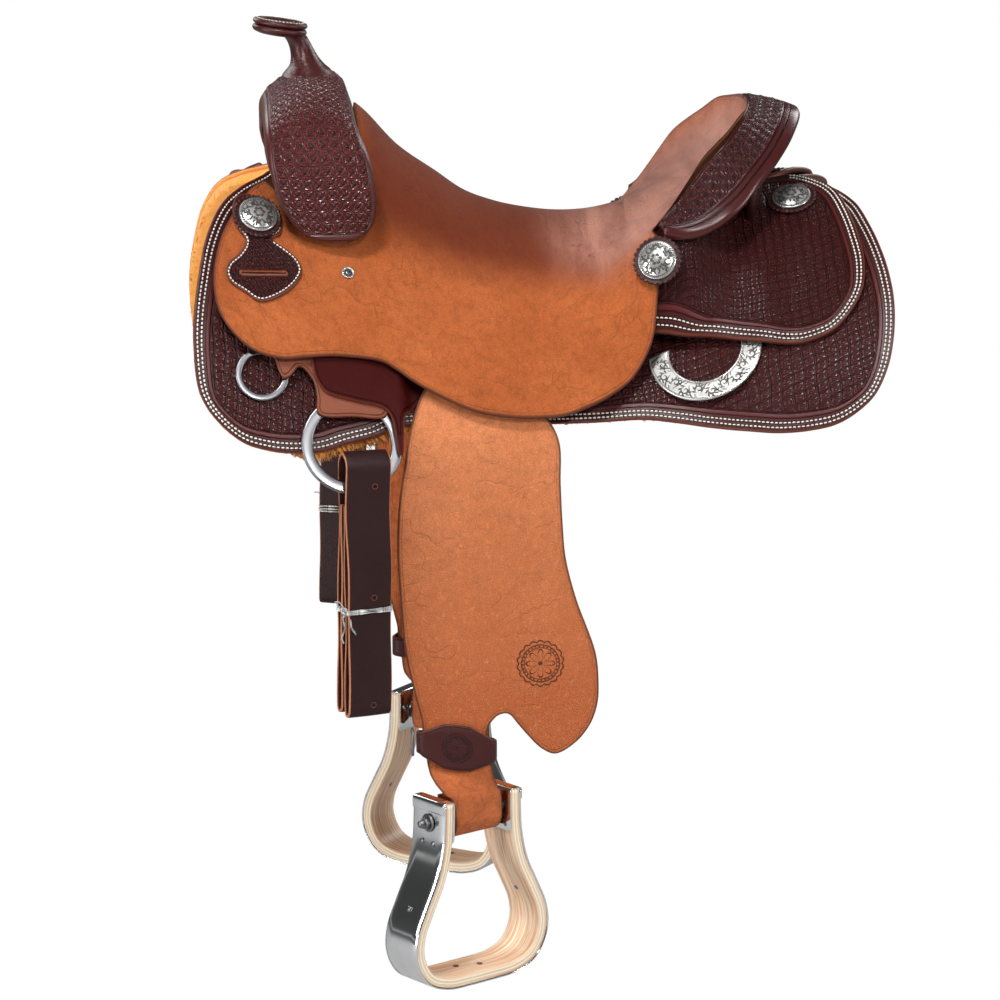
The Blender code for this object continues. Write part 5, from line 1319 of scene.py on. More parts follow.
# ================================================================ conchos, rosettes, screws
def ribbon(points, widths, lift_at):
    """A thin tapering cut as a flat strip: points in 2-D, carried to space by lift_at(p) -> (point, normal)."""
    P = np.asarray(points, float)
    T = np.gradient(P, axis=0)
    T /= np.linalg.norm(T, axis=1)[:, None] + 1e-12
    N = np.stack([-T[:, 1], T[:, 0]], 1)
    V, F = [], []
    for i, (p, n, w) in enumerate(zip(P, N, widths)):
        V += [lift_at(p + n * w), lift_at(p - n * w)]
        if i:
            F.append((2 * i - 2, 2 * i - 1, 2 * i + 1, 2 * i))
    return V, F


def curl(c, r, start, turns, hand, n=26):
    """A scroll: an arc that tightens into its eye."""
    t = np.linspace(0, 1, n)
    a = start + hand * 2 * math.pi * turns * t
    rr = r * (1 - .80 * t ** .85)
    return np.stack([c[0] + rr * np.cos(a), c[1] + rr * np.sin(a)], 1)


def taper(n, w, head=.25):
    t = np.linspace(0, 1, n)
    return w * np.minimum(1, np.minimum(t / head + .25, (1 - t) / .35 + .15))


def scroll_cuts(c, r, start, hand, w):
    """One scroll with its leaf strokes fanned outside it."""
    out = [(curl(c, r, start, 1.25, hand), taper(26, w * 1.5))]
    for k in range(6):
        a = start + hand * (.35 + k * .72)
        r0, r1 = r * (1 - .80 * (k * .72 / 8.5) ** .85) * 1.05, r * 1.42
        t = np.linspace(0, 1, 8)
        aa = a + hand * .45 * t
        rr = r0 + (r1 - r0) * t
        out.append((np.stack([c[0] + rr * np.cos(aa), c[1] + rr * np.sin(aa)], 1), taper(8, w * 1.5)))
    return out


def engraving(name, cuts, lift_at, body):
    V, F = [], []
    for pts, wid in cuts:
        v, f = ribbon(pts, wid, lift_at)
        base = len(V)
        V += v
        F += [tuple(i + base for i in g) for g in f]
    return finish_mesh(name, V, F, ("engraving",), body)


def concho_cuts(r):
    """Flower in the middle, scrolls round it, rope edge outside."""
    out = []
    for k in range(6):
        a = k * math.pi / 3
        t = np.linspace(-1, 1, 12)
        for hand in (-1, 1):
            rr = r * (.13 + .16 * (1 - t ** 2) ** .5 * .5 + .10 * (t + 1) / 2)
            aa = a + hand * .42 * (1 - t ** 2) ** .5
            out.append((np.stack([rr * np.cos(aa), rr * np.sin(aa)], 1), taper(12, r * .042)))
    for k in range(5):
        a = k * 2 * math.pi / 5 + .3
        hand = 1 if k % 2 else -1
        out += scroll_cuts((r * .60 * math.cos(a), r * .60 * math.sin(a)), r * .17, a + 2.0, hand, r * .034)
        b = a + math.pi / 5
        t = np.linspace(0, 1, 10)
        for h in (-1, 1):
            rr = r * (.42 + .38 * t)
            aa = b + h * (.02 + .20 * np.sin(math.pi * t))
            out.append((np.stack([rr * np.cos(aa), rr * np.sin(aa)], 1), taper(10, r * .045)))
    for k in range(44):
        a = k * 2 * math.pi / 44
        t = np.linspace(0, 1, 4)
        rr = r * (.885 + .075 * t)
        aa = a + .10 * t
        out.append((np.stack([rr * np.cos(aa), rr * np.sin(aa)], 1), np.array([.4, 1, 1, .4]) * r * .024))
    a = np.linspace(0, 2 * math.pi, 73)
    out.append((np.stack([r * .855 * np.cos(a), r * .855 * np.sin(a)], 1), np.full(73, r * .020)))
    return out


for tag, side in LR:
    spots = (("front", frame_at(seat, -.2900, .1040, SEAT_D + .0042)), ("seat", frame_at(seat, .1020, .1300, SEAT_D + .0052)),
             ("rear", frame_at(housing, .2460, .0620, HOUSING_D[1] + .0008)))
    for where, at in spots:
        c, tx, ts, nn = at
        def scallop(r, h, a):
            k = smooth(.018, .0245, r)
            w = np.abs(np.sin(a * 14)) ** .7
            return r * (1 - .070 * k * (1 - w)), h + .0007 * k * w
        under = at if where != "front" else (c - nn * .0008, tx, ts, nn)
        revolve(f"rosette_{where}_leather_{tag}", under, [(.0215, -.0002), (.0232, .0), (.0247, .0008), (.0251, .0018), (.0247, .0028), (.0238, .0035), (.0226, .0033), (.0218, .0026), (.0205, .0030), (.004, .0030)], ("dark",), "saddle", side,
                (f"rosette_{where}_{tag}",) if where != "front" else (), n=224, wobble=scallop)
        r = CONCHO_R
        prof = [(r - .0010, -.0002), (r, .0004), (r + .0001, .0012), (r - .0005, .0019), (r - .0012, .0021), (r - .0020, .0020), (r - .0034, .0024), (r * .70, .0040), (r * .45, .0051), (r * .2, .0057), (.0008, .0059)]
        base = c + nn * .0037
        revolve(f"concho_{where}_silver_{tag}", (base, tx, ts, nn), prof, ("silver",), "saddle", side, (f"concho_{where}_{tag}",), n=72)
        pr = np.array(prof[::-1])

        def on_dome(q, base=base, tx=tx, ts=ts, nn=nn, pr=pr, side=side):
            rr = math.hypot(q[0], q[1])
            h = float(np.interp(rr, pr[:, 0][:9], pr[:, 1][:9])) + .00012
            return (base + tx * q[0] + ts * q[1] + nn * h) * (1, side, 1)
        engraving(f"concho_{where}_cuts_{tag}", concho_cuts(r), on_dome, "saddle")
    at = frame_at(seat, -.2020, .1230, SEAT_D + .0006)
    c, tx, ts, nn = at
    revolve(f"seat_screw_cup_{tag}", at, [(.0058, 0), (.0065, .0004), (.0064, .0013), (.0056, .0018), (.0046, .0012), (.0042, .0004), (.0040, .0003)], ("silver",), "saddle", side, (f"seat_screw_{tag}",), n=48)
    # painted shade: a near-black disk for the shade in the cup round the screw head
    revolve(f"seat_screw_well_{tag}", (c + nn * .0005, tx, ts, nn), [(.0044, 0), (.0044, .0003), (.0030, .0001), (.0004, .0001)], ("engraving",), "saddle", side, n=32)
    revolve(f"seat_screw_head_{tag}", (c + nn * .0005, tx, ts, nn), [(.0026, 0), (.0028, .0006), (.0022, .0011), (.0010, .0013), (.0003, .0013)], ("steel",), "saddle", side, n=32)

# ================================================================ rings and dees
def flat_ring_loops(at, r_out, r_in, thick, start, stop, n, m=4):
    c, tx, ts, nn = at
    out = []
    closed = abs(stop - start) > 6.2
    for t in np.linspace(start, stop, n, endpoint=not closed):
        u = math.cos(t) * tx + math.sin(t) * ts
        w, h = (r_out - r_in) / 2, thick / 2
        rr = min(w, h) * .75
        sec = []
        for cx, cy, a0 in ((w - rr, h - rr, 0), (-w + rr, h - rr, 90), (-w + rr, -h + rr, 180), (w - rr, -h + rr, 270)):
            for k in range(m + 1):
                g = math.radians(a0 + 90 * k / m)
                sec.append((cx + rr * math.cos(g), cy + rr * math.sin(g)))
        out.append([c + u * ((r_out + r_in) / 2 + p) + nn * (h + q) for p, q in sec])
    return out


for tag, side in LR:
    body = f"ring_{tag}_body"
    c, tx, ts, nn = frame_at(back, -.1955, .2600, .0204)
    ts = ts * (1 if ts[2] < 0 else -1)
    ring_at = (c + ts * .0225, tx, ts, nn)
    loft_mesh(f"rigging_ring_{tag}", flat_ring_loops(ring_at, .0500, .0385, .0050, 0, 2 * math.pi, 120), ("steel",), body, (f"front_dee_{tag}",), ring=True, side=side)
    at = frame_at(back, -.2890, .2530, .0192)
    loft_mesh(f"breast_ring_{tag}", flat_ring_loops(at, .0265, .0200, .0036, 0, 2 * math.pi, 96), ("steel",), f"breast_dee_{tag}_body", (f"breast_dee_{tag}",), ring=True, side=side)
    c, tx, ts, nn = frame_at(back, .1480, .1860, .0234)
    half, cutk = [], []
    for k in range(81):
        a_in, a_out = (math.radians(lo + (hi - lo) * k / 80) for lo, hi in ((8, 203), (8, 193)))
        row, ck = [], []
        for q, (w, h) in enumerate([(0, 0), (1, 0), (1, .0016), (.985, .0022), (.955, .0026), (.93, .0027), (.915, .0022)] + [(.90 - .80 * j / 8, .0023) for j in range(9)] + [(.085, .0022), (.07, .0027), (.045, .0026), (.015, .0022), (0, .0016)]):
            r_, a_ = .0365 + .0210 * w, a_in + (a_out - a_in) * w
            row.append(c + (math.cos(a_) * tx + math.sin(a_) * ts) * r_ + nn * h)
            ck.append(1.0 if .08 < w < .92 and h > .001 else 0.0)
        half.append(row)
        cutk.append(ck)
    o = loft_mesh(f"rear_dee_plate_{tag}", half, ("silver",), "saddle", (f"rear_dee_{tag}",), side=side, attrs={"cut_k": cutk}, uv="true")
    mid_r, band_w = .0365 + .0105, .0190

    def on_dee(q, c=c, tx=tx, ts=ts, nn=nn, side=side):
        """q = (run along the middle of the band, across it), both in metres."""
        a_ = math.radians(8) + q[0] / mid_r
        return (c + (math.cos(a_) * tx + math.sin(a_) * ts) * (mid_r + q[1]) + nn * .00245) * (1, side, 1)
    cuts, run, k = [], .006, 0
    total = math.radians(186) * mid_r
    while run < total - .006:
        hand = 1 if k % 2 else -1
        y0 = .0018 * hand
        cuts += scroll_cuts((run, y0), .0050, -hand * 1.2, hand, .00050)
        t = np.linspace(0, 1, 14)
        cuts.append((np.stack([run + .0055 + .0066 * t, -hand * (.0070 - .0120 * t + .002 * np.sin(math.pi * t))], 1), taper(14, .00062)))
        cuts.append((np.stack([run + .0042 + .0060 * t, -hand * (.0074 - .0090 * t + .003 * np.sin(math.pi * t))], 1), taper(14, .00050)))
        cuts.append((np.stack([run + .0010 + .0034 * t, -hand * (.0074 - .0035 * t)], 1), taper(14, .0005)))
        run += .0136
        k += 1
    for y0 in (-.0080, .0080):
        t = np.linspace(.0025, total - .0025, 90)
        cuts.append((np.stack([t, np.full(90, y0)], 1), np.full(90, .00022)))
    engraving(f"rear_dee_cuts_{tag}", cuts, on_dee, "saddle")

# ================================================================ fenders and stirrup leathers
def hang(x, z, d):
    return np.stack([x, fender_y(z) + d, z], -1)


for tag, side in LR:
    body = f"fender_{tag}_swing_body"
    loop = spline(FENDER_OUT, .003, closed=True)
    leather_sheet(f"fender_leather_{tag}", loop, hang, -FENDER_T / 2, FENDER_T / 2, side, body, ("fender", "edge", "strap"), (f"fender_{tag}",), grid=.005, roundness=.0016)
    bx, by, bz = STIRRUP_PIVOT
    stations = []
    for z, x, k, turn in ((-.045, -.077, 1, 0), (-.060, -.078, 1, 0), (-.080, -.079, 1, 0), (-.110, -.082, 1, 0), (-.140, -.084, 1, 0), (-.200, -.088, 1, 0), (-.300, -.094, 1, 0), (-.400, -.099, 1, 0),
                          (-.440, -.1005, 1, 0), (-.461, -.1000, 1, 0), (-.475, -.0990, .75, 0), (-.488, -.0975, .40, .10), (-.499, -.0950, .1, .38), (-.510, -.0915, 0, .72), (-.522, bx + .0020, 0, .96), (bz - .0045, bx + .0025, 0, 1)):
        yc = float(fender_y(z)) - k * (FENDER_T / 2 + LEATHER_T / 2 + .0006)
        if turn:
            yc = yc * (1 - turn) + (by + LOOP_R) * turn
        a = STIRRUP_YAW * turn
        stations.append((x + (LOOP_R * -math.sin(a)) * turn, yc if not turn else yc - LOOP_R * (1 - math.cos(a)) * turn, z, a, turn))
    S = spline(np.array(stations), .004)
    loops = []

    def strap_section(h, t):
        rr = t * .8
        pts = [(-h, -t + rr), (-h + rr * .3, -t + rr * .3), (-h + rr, -t)] + [(-h + rr + (2 * h - 2 * rr) * j / 10, -t) for j in range(1, 10)] + [(h - rr, -t), (h - rr * .3, -t + rr * .3), (h, -t + rr),
               (h, t - rr), (h - rr * .3, t - rr * .3), (h - rr, t)] + [(h - rr - (2 * h - 2 * rr) * j / 10, t) for j in range(1, 10)] + [(-h + rr, t), (-h + rr * .3, t - rr * .3), (-h, t - rr)]
        return pts

    for cx, cy, cz, a, turn in S:
        u = np.array([math.cos(a), math.sin(a), 0.0])
        v = np.array([-math.sin(a), math.cos(a), 0.0])
        h, t = LEATHER_W / 2 * (1 - .06 * np.clip(turn, 0, 1)), LEATHER_T / 2
        loops.append([np.array([cx, cy, cz]) + u * p + v * q for p, q in strap_section(h, t)])
    a = STIRRUP_YAW
    u = np.array([math.cos(a), math.sin(a), 0.0])
    v = np.array([-math.sin(a), math.cos(a), 0.0])
    for deg in range(9, 181, 9):
        g = math.radians(deg)
        m_ = np.array([bx, by, bz - .0045]) + u * .0030 + v * LOOP_R * math.cos(g) + np.array([0, 0, -LOOP_R * math.sin(g)])
        nrm = v * math.cos(g) + np.array([0, 0, -math.sin(g)])
        loops.append([m_ + u * p + nrm * q for p, q in strap_section(LEATHER_W / 2 * .94, LEATHER_T / 2)])
    last = loops[-1]
    for dz in (.006, .012, .019, .026):
        loops.append([np.array(p) + np.array([0, 0, dz]) for p in last])
    nsec = len(loops[0])
    E = [[min(p + LEATHER_W / 2, LEATHER_W / 2 - p) * 1000 for p, q in strap_section(LEATHER_W / 2, LEATHER_T / 2)]] * len(loops)
    loft_mesh(f"stirrup_strap_{tag}", loops, ("strap",), body, (f"stirrup_leather_{tag}",), side=side, attrs={"edge_mm": E}, uv="true")

    # hobble strap: a band with a wide front and a small roller buckle
    yc = float(fender_y(-.462)) - .0022
    band_loops, marks, hx, hy = [], ([], [], []), .0375, .0072
    n_ = 140
    for i in range(n_):
        t = 2 * math.pi * i / n_
        c_, s_ = math.cos(t), math.sin(t)
        px = hx * np.sign(c_) * abs(c_) ** .35
        py = hy * np.sign(s_) * abs(s_) ** .55
        half_h = .0105 + .0130 * smooth(.2, .7, s_) * np.clip(1.12 - abs(px) / (hx * .92), 0, .80) / .80
        nv = np.array([px / hx**2, py / hy**2])
        nv /= np.linalg.norm(nv) + 1e-12
        slant = -.0050 * px / hx
        sec = [(0, -1), (.0019, -1), (.0025, -.96), (.0027, -.6), (.0027, 0), (.0027, .6), (.0025, .96), (.0019, 1), (0, 1), (0, 0)]
        band_loops.append([(-.101 + px + nv[0] * w, yc + py + nv[1] * w, -.4655 + slant + hh * half_h) for w, hh in sec])
        marks[0].append([(px * 1000 if s_ > .3 else 99.0)] * len(sec))
        marks[1].append([hh * half_h * 1000 for w, hh in sec])
        marks[2].append([(1 - abs(hh)) * half_h * 1000 if w > 0 else -1.0 for w, hh in sec])
    loft_mesh(f"hobble_band_{tag}", band_loops, ("hobble",), body, (f"hobble_strap_{tag}",), ring=True, side=side, uv="true", attrs={"mark_x": marks[0], "mark_y": marks[1], "edge_mm": marks[2]})
    bk = []
    for i in range(64):
        t = 2 * math.pi * i / 64
        c_, s_ = math.cos(t), math.sin(t)
        py, pz = .0075 * np.sign(c_) * abs(c_) ** .5, .0125 * np.sign(s_) * abs(s_) ** .5
        nv = np.array([py, pz]) / math.hypot(py, pz)
        bk.append([(-.1450 + .0014 * math.cos(g), yc + .002 + py + nv[0] * .0014 * math.sin(g), -.4600 + pz + nv[1] * .0014 * math.sin(g)) for g in np.linspace(0, 2 * math.pi, 10, endpoint=False)])
    loft_mesh(f"hobble_roller_buckle_{tag}", bk, ("steel",), body, (f"hobble_buckle_{tag}",), ring=True, side=side)

# ================================================================ stirrups
INNER = spline(mm([(37.2, 22), (37.4, 4), (39, -22), (47, -55), (62, -86), (72, -108), (73.5, -128), (63, -148), (43, -156.5), (14, -158), (0, -158)]), .004)
INNER[-1, 0] = 0
INNER[INNER[:, 0] < .016, 1] = -.158
INNER = np.vstack([INNER, INNER[-2::-1] * (-1, 1)])


def offset2(P, w):
    t = np.gradient(P, axis=0)
    t /= np.linalg.norm(t, axis=1)[:, None]
    return P + np.stack([-t[:, 1], t[:, 0]], 1) * w


for tag, side in LR:
    body = f"stirrup_{tag}_body"
    P0 = np.array(STIRRUP_PIVOT)
    u = np.array([math.cos(STIRRUP_YAW), math.sin(STIRRUP_YAW), 0.0])
    v = np.array([-math.sin(STIRRUP_YAW), math.cos(STIRRUP_YAW), 0.0])
    up = np.array([0, 0, 1.0])
    place = lambda a, b, z: P0 + u * a + v * b + up * z

    def bow(w0, w1, depth, r):
        A, B = offset2(INNER, w0), offset2(INNER, w1)
        h = depth / 2
        out, ply = [], []
        for a_, b_ in zip(A, B):
            m_ = b_ - a_
            row, pl = [], []
            for w, q in ((0, -h + 2.2 * r), (0.03, -h + .8 * r), (.14, -h + .1 * r), (.25, -h), (.45, -h), (.65, -h), (.85, -h), (1, -h), (1, -h * .5), (1, 0), (1, h * .5), (1, h), (.85, h), (.65, h), (.45, h), (.25, h), (.14, h - .1 * r), (.03, h - .8 * r), (0, h - 2.2 * r), (0, h * .5), (0, 0), (0, -h * .5)):
                row.append(place(a_[0] + m_[0] * w, q, a_[1] + m_[1] * w))
                pl.append(w)
            out.append(row)
            ply.append(pl)
        return out, ply

    rows, ply = bow(0, .0100, STIRRUP_DEPTH - .002, .0012)
    sides = set(range(1, 7)) | set(range(12, 17))
    loft_mesh(f"stirrup_bow_{tag}", rows, ("wood", "plies"), body, (f"stirrup_wood_{tag}",), side=side, attrs={"ply": ply}, uv="true",
              face_mat=lambda i, j: 1 if (j in sides or i < 0) else 0)
    A, B = offset2(INNER, .0103), offset2(INNER, .0119)
    h = STIRRUP_DEPTH / 2
    shell = []
    for a_, b_ in zip(A, B):
        m_ = b_ - a_
        shell.append([place(a_[0] + m_[0] * w, q, a_[1] + m_[1] * w) for w, q in ((0, -h), (.6, -h), (1, -h + .0006), (1, -h * .6), (1, 0), (1, h * .6), (1, h - .0006), (.6, h), (0, h), (0, 0))])
    loft_mesh(f"stirrup_binding_{tag}", shell, ("polished",), body, (f"stirrup_shell_{tag}",), side=side)

    # end plates: the binding wraps over the top of each leg and down its inside
    def leg(zq, sg, w):
        """A point on the leg at height zq, moved out by w, with its outward direction in (a, z)."""
        rows_ = INNER[INNER[:, 0] * sg > .01]
        k_ = int(np.argmin(np.abs(rows_[:, 1] - zq)))
        k_ = min(max(k_, 1), len(rows_) - 2)
        t_ = rows_[k_ + 1] - rows_[k_ - 1]
        t_ /= np.linalg.norm(t_)
        n_ = np.array([-t_[1], t_[0]])
        if n_[0] * sg < 0:
            n_ = -n_
        return rows_[k_] + n_ * w, n_

    for sg, end in ((-1, "a"), (1, "b")):
        strip = [(leg(z_, sg, -.0011)[0][0] * sg, z_) for z_ in (-.021, -.012, .0, .012)] + [(.0362, .0190), (.0368, .0224), (.0386, .0236), (.0440, .0238), (.0480, .0236), (.0498, .0222), (.0503, .0190), (.0502, .0120)]
        L2 = spline(np.array(strip), .0012)
        T2 = np.gradient(L2, axis=0)
        T2 /= np.linalg.norm(T2, axis=1)[:, None]
        N2 = np.stack([-T2[:, 1], T2[:, 0]], 1)
        hv = STIRRUP_DEPTH / 2 - .0010
        plate = []
        for k_, ((a_, z_), (na, nz)) in enumerate(zip(L2, N2)):
            round_ = 1 - .20 * max(0, 1 - k_ / 5) ** 2
            plate.append([place(sg * (a_ + na * w), q * round_, z_ + nz * w) for w, q in ((-.0005, -hv), (-.0005, -hv * .5), (-.0005, 0), (-.0005, hv * .5), (-.0005, hv), (.0003, hv + .0002), (.0005, hv * .98), (.0005, hv * .5), (.0005, 0), (.0005, -hv * .5), (.0005, -hv * .98), (.0003, -hv - .0002))])
        loft_mesh(f"stirrup_plate_{end}_{tag}", plate, ("polished",), body, side=side)
        nut = np.array([math.cos(STIRRUP_YAW), math.sin(STIRRUP_YAW), 0.0]) * sg
        rows_at = lambda off: (place(sg * (.0374 + .0119 + off), 0, 0), v, up, nut)

        def hexed(r_, h_, a_):
            flat_ = np.cos(math.pi / 6) / np.cos((a_ % (math.pi / 3)) - math.pi / 6)
            k_ = float(.0034 < r_ < .0066 and h_ < .0052)
            return r_ * (1 - k_ + k_ * flat_), h_ * np.ones(len(a_))
        revolve(f"bolt_washer_{end}_{tag}", rows_at(.0009), [(.0076, 0), (.0090, .0001), (.0092, .0006), (.0088, .0012), (.0070, .0014), (.0052, .0012)], ("steel",), body, side, n=48)
        revolve(f"bolt_nut_{end}_{tag}", rows_at(.0019), [(.0060, 0), (.0065, .0004), (.0065, .0042), (.0060, .0046), (.0050, .0050), (.0049, .0056), (.0047, .0072), (.0040, .0092), (.0028, .0106), (.0014, .0113), (.0003, .0114)], ("steel",), body, side, n=60, wobble=hexed)
        revolve(f"bolt_inner_{end}_{tag}", (place(sg * .0357, 0, 0), v, up, -nut), [(.0085, 0), (.0087, .0005), (.0080, .0010), (.0058, .0012), (.0057, .0030), (.0048, .0034)], ("steel",), body, side, n=48, wobble=None)
        for k_, (z_, q_, inner) in enumerate(((-.0240, -.0085, False), (-.0240, .0085, False), (-.0880, .0, False), (-.0880, .0, True), (-.0155, .0150, True))):
            (a_, zz), nrm2 = leg(z_, sg, -.0012 if (inner and z_ > -.05) else (.0121 if not inner else .0001))
            n3 = (u * nrm2[0] + up * nrm2[1]) * (1 if not inner else -1)
            t3 = np.cross(v, n3)
            revolve(f"stirrup_rivet_{k_}_{end}_{tag}", (place(a_, q_, zz), v, t3, n3), [(.0028, -.0002), (.0031, .0002), (.0029, .0009), (.0022, .0015), (.0012, .0019), (.0002, .0020)] if not inner else [(.0026, -.0002), (.0028, .0001), (.0024, .0005), (.0010, .0007), (.0002, .0007)],
                    ("steel",), body, side, n=28)
    for k_, q_ in enumerate((-.013, .013)):
        revolve(f"tread_screw_{k_}_{tag}", (place(q_ * .9, q_ * .35, -.1578), u, v, up), [(.0030, -.0004), (.0032, .0001), (.0028, .0005), (.0012, .0007), (.0002, .0007)], ("steel",), body, side, n=28)
    # the bolt's barrel between the legs
    prof = [(-.0368, .0010), (-.0366, .0036), (.0366, .0036), (.0368, .0010)]
    rows = [[place(a_, r_ * math.cos(t), r_ * math.sin(t)) for t in np.linspace(0, 2 * math.pi, 30, endpoint=False)] for a_, r_ in prof]
    loft_mesh(f"stirrup_bolt_steel_{tag}", rows, ("steel",), body, (f"stirrup_bolt_{tag}",), side=side)

# ================================================================ latigo, off billet and their ties
def arc2(cx, cz, r, a0, a1, n):
    t = np.radians(np.linspace(a0, a1, n))
    return [(cx + r * math.cos(a), cz + r * math.sin(a)) for a in t]


def tube(points, r, n=8):
    P = np.asarray(points, float)
    T = np.gradient(P, axis=0)
    T /= np.linalg.norm(T, axis=1)[:, None] + 1e-12
    ref = np.array([0.0, .3, 1.0])
    out = []
    for p_, t_ in zip(P, T):
        a_ = np.cross(t_, ref)
        a_ /= np.linalg.norm(a_) + 1e-9
        b_ = np.cross(t_, a_)
        out.append([p_ + r * (math.cos(g) * a_ + math.sin(g) * b_) for g in np.linspace(0, 2 * math.pi, n, endpoint=False)])
        ref = b_
    return out


for tag, side, strap in (("left", -1, "latigo_left"), ("right", 1, "off_billet_right")):
    body = f"strap_{tag}_body"
    c, tx, ts, nn = frame_at(back, -.1955, .2600, .0204)
    ts = ts * (1 if ts[2] < 0 else -1)
    low = c + ts * .0667 + nn * .0025
    centre = np.array([-.1912, low[1] - .0052, low[2]])
    cu, su = math.cos(math.radians(-13)), math.sin(math.radians(-13))
    clear, top, thick = .0140, low[2] + .0180, .0034
    bottom = -.4185 if side < 0 else -.4085
    line = [(-.0048, low[2] - .0200), (-.0050, -.30), (-.0056, -.38), (-.0052, bottom)]
    line += arc2(-.0096, bottom, .0044, 0, -180, 9) + [(-.0145, -.38), (-.0136, -.30), (-clear, low[2] - .02), (-clear, top)]
    line += arc2(0, top, clear, 180, 0, 17)[1:] + [(clear, low[2]), (.0143, -.27), (.0136, -.35), (.0142, bottom - .001)]
    line += arc2(.0096, bottom - .001, .0046, 0, -180, 9)[1:] + [(.0046, -.38), (.0054, -.30), (.0048, low[2] - .0200)]
    L = resample(line, .0025)
    T = np.gradient(L, axis=0)
    T /= np.linalg.norm(T, axis=1)[:, None] + 1e-12
    N = np.stack([T[:, 1], -T[:, 0]], 1)
    hw, ht, rr = LATIGO_W / 2, thick / 2, .0010
    sec = [(-hw, -ht + rr), (-hw + rr * .3, -ht + rr * .3), (-hw + rr, -ht)] + [(-hw + rr + (2 * hw - 2 * rr) * q / 12, -ht - .0003 * math.sin(math.pi * q / 12)) for q in range(1, 12)] + [(hw - rr, -ht), (hw - rr * .3, -ht + rr * .3), (hw, -ht + rr),
           (hw, ht - rr), (hw - rr * .3, ht - rr * .3), (hw - rr, ht)] + [(hw - rr - (2 * hw - 2 * rr) * q / 12, ht + .0003 * math.sin(math.pi * q / 12)) for q in range(1, 12)] + [(-hw + rr, ht), (-hw + rr * .3, ht - rr * .3), (-hw, ht - rr)]

    def put(a_, o_, z_, centre=centre, top=top):
        """The strap hangs with a slight twist that grows towards its lower end."""
        g = math.radians(-11 - 9 * float(smooth(top - .03, top - .16, z_)))
        return np.array([centre[0] + a_ * math.cos(g) - o_ * math.sin(g) + .008 * (z_ - top), centre[1] + a_ * math.sin(g) + o_ * math.cos(g), z_])
    loops = []
    for k_, ((o_, z_), (ny, nz)) in enumerate(zip(L, N)):
        wob = .0006 * math.sin(z_ * 55 + o_ * 300)
        loops.append([put(a_ + wob, o_ + ny * q_, z_ + nz * q_) for a_, q_ in sec])
    ns = len(sec)
    tanned = {ns - 1, 0, 1, 15, 16, 14} | {ns - 2}
    loft_mesh(f"cinch_strap_{tag}", loops, ("latigo", "edge_tan"), body, (strap,), side=side, uv="true", face_mat=lambda i, j: 1 if j in tanned or i < 0 else 0, attrs={"edge_mm": [[min(a_ + hw, hw - a_) * 1000 for a_, q_ in sec]] * len(loops)})
    for k_, (a_, z_) in enumerate(((.0065, -.1950), (.0040, -.3060), (.0030, -.4140 if side < 0 else -.4040))):
        at = (put(a_, .0142 + ht + .00005, z_), np.array([cu, su, 0.0]), np.array([0, 0, 1.0]), np.array([-su, cu, 0.0]))
        revolve(f"strap_hole_{k_}_{tag}", at, [(.0028, -.0003), (.0030, .0002), (.0027, .0006), (.0022, .0005), (.0020, .0001)], ("rolled",), body, side, n=28)
        # painted shade: a near-black disk stands for the dark inside the punched hole
        revolve(f"strap_hole_dark_{k_}_{tag}", at, [(.0022, -.0001), (.0022, .00025), (.0010, .00022), (.0002, .00022)], ("hole",), body, side, n=28)
    # white tie: two turns of thin lace, a knot at the front edge and short loose ends
    TIE_Z = -.3190 if side < 0 else -.3085
    V2 = []
    for j_, dz in enumerate((-.0022, .0, .0022)):
        ring_pts = []
        for t in np.linspace(0, 2 * math.pi, 90, endpoint=False):
            c2, s2 = math.cos(t), math.sin(t)
            a_ = (hw + .0012) * np.sign(c2) * abs(c2) ** .22
            o_ = (.0142 + ht + .0010) * np.sign(s2) * abs(s2) ** .30
            ring_pts.append(put(a_, o_, TIE_Z + dz + .0009 * math.sin(t + j_)))
        lp = tube(ring_pts + ring_pts[:1], .0011, 8)
        V2.append(lp[:-1])
    for j_, lp in enumerate(V2):
        loft_mesh(f"tie_turn_{j_}_{tag}", lp, ("tie",), body, (f"strap_tie_{tag}",) if j_ == 0 else (), ring=True, side=side)
    kx = -(hw + .0022)
    knot = [put(kx + .0016 * math.cos(t) * (1 + .3 * math.sin(2 * t)), .0105 + .0016 * math.sin(2 * t), TIE_Z + .0030 * math.sin(t)) for t in np.linspace(0, 2 * math.pi, 30)]
    loft_mesh(f"tie_knot_{tag}", tube(knot, .0014), ("tie",), body, side=side)
    for j_, pts in enumerate(([(kx, .0105, TIE_Z), (kx - .004, .0125, TIE_Z + .0075), (kx - .0070, .0120, TIE_Z + .0115), (kx - .0110, .0115, TIE_Z + .0110)],
                              [(kx, .0105, TIE_Z), (kx - .0030, .0125, TIE_Z - .0055), (kx - .0022, .0140, TIE_Z - .0155), (kx - .0050, .0140, TIE_Z - .0245), (kx - .0030, .0135, TIE_Z - .0300)],
                              [(kx, .0105, TIE_Z), (kx + .0030, .0150, TIE_Z - .0055), (kx + .0040, .0168, TIE_Z - .0145), (kx + .0085, .0170, TIE_Z - .0215)])):
        curve = spline(np.array([put(*q) for q in pts]), .0015)
        loft_mesh(f"tie_end_{j_}_{tag}", tube(curve, .0011), ("tie",), body, side=side)

# ================================================================ hidden frame nodes keep their shape
for n_, m_ in (("ground_seat", "dark"), ("tree_fork", "tree"), ("tree_bar_left", "tree"), ("tree_bar_right", "tree")):
    NODES[n_].data.materials.clear()
    NODES[n_].data.materials.append(M[m_])

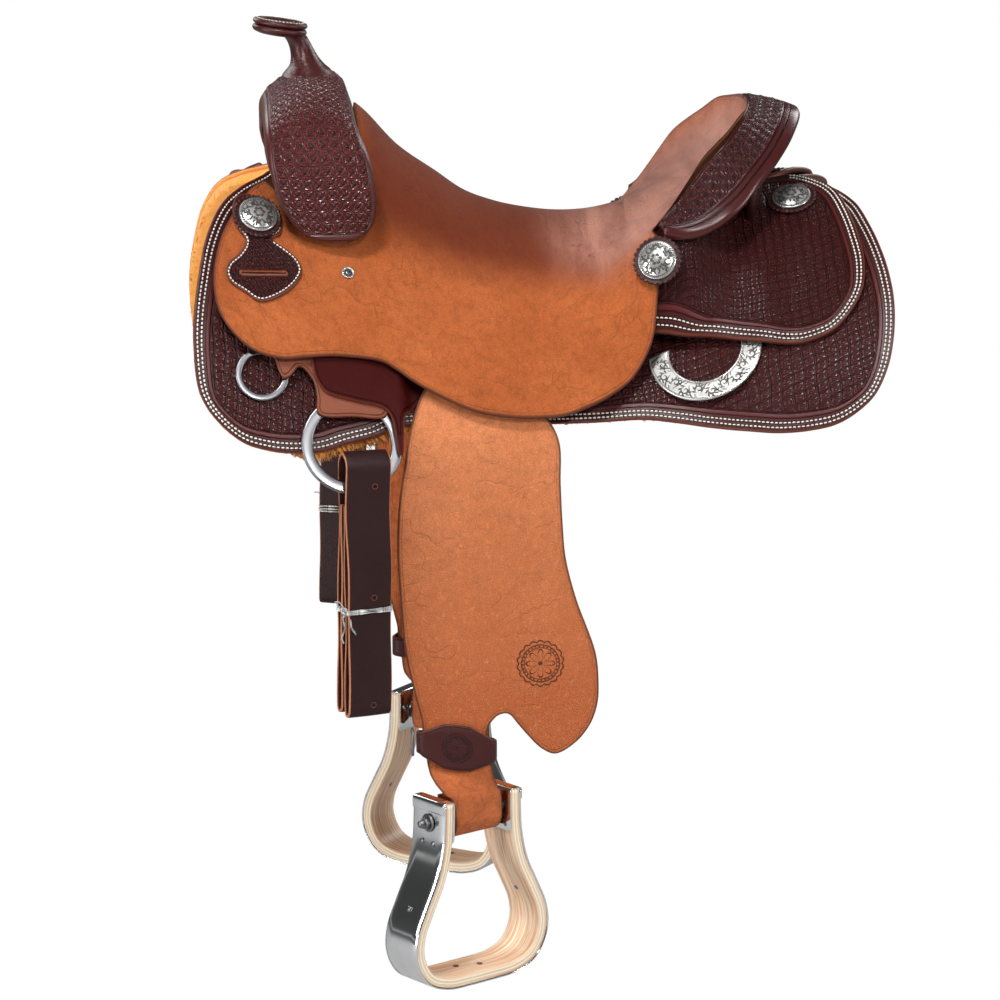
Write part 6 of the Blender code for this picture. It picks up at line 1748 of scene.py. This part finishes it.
# ================================================================ floor
bpy.ops.mesh.primitive_plane_add(size=40, location=(0, 0, -.98))
floor = bpy.context.object
floor.name = "studio_floor"
fm = Tree("studio_floor")
fn_ = fm.noise(fm.obj(), 2.0, 2.0)
floor_mat = fm.done(fm.mix(fn_, (.44, .44, .44), (.46, .46, .46)), .9)
# the sweep behind the object is exposed to plain white, and bounces only part of that light
_em = fm.nt.nodes.new("ShaderNodeEmission")
_em.inputs["Color"].default_value = (1, 1, 1, 1)
_em.inputs["Strength"].default_value = 1.0
_path = fm.nt.nodes.new("ShaderNodeLightPath")
_mx = fm.nt.nodes.new("ShaderNodeMixShader")
fm.nt.links.new(_path.outputs["Is Camera Ray"], _mx.inputs[0])
fm.nt.links.new(fm.bsdf.outputs[0], _mx.inputs[1])
fm.nt.links.new(_em.outputs[0], _mx.inputs[2])
fm.nt.links.new(_mx.outputs[0], fm.nt.nodes["Material Output"].inputs[0])
floor.data.materials.append(floor_mat)
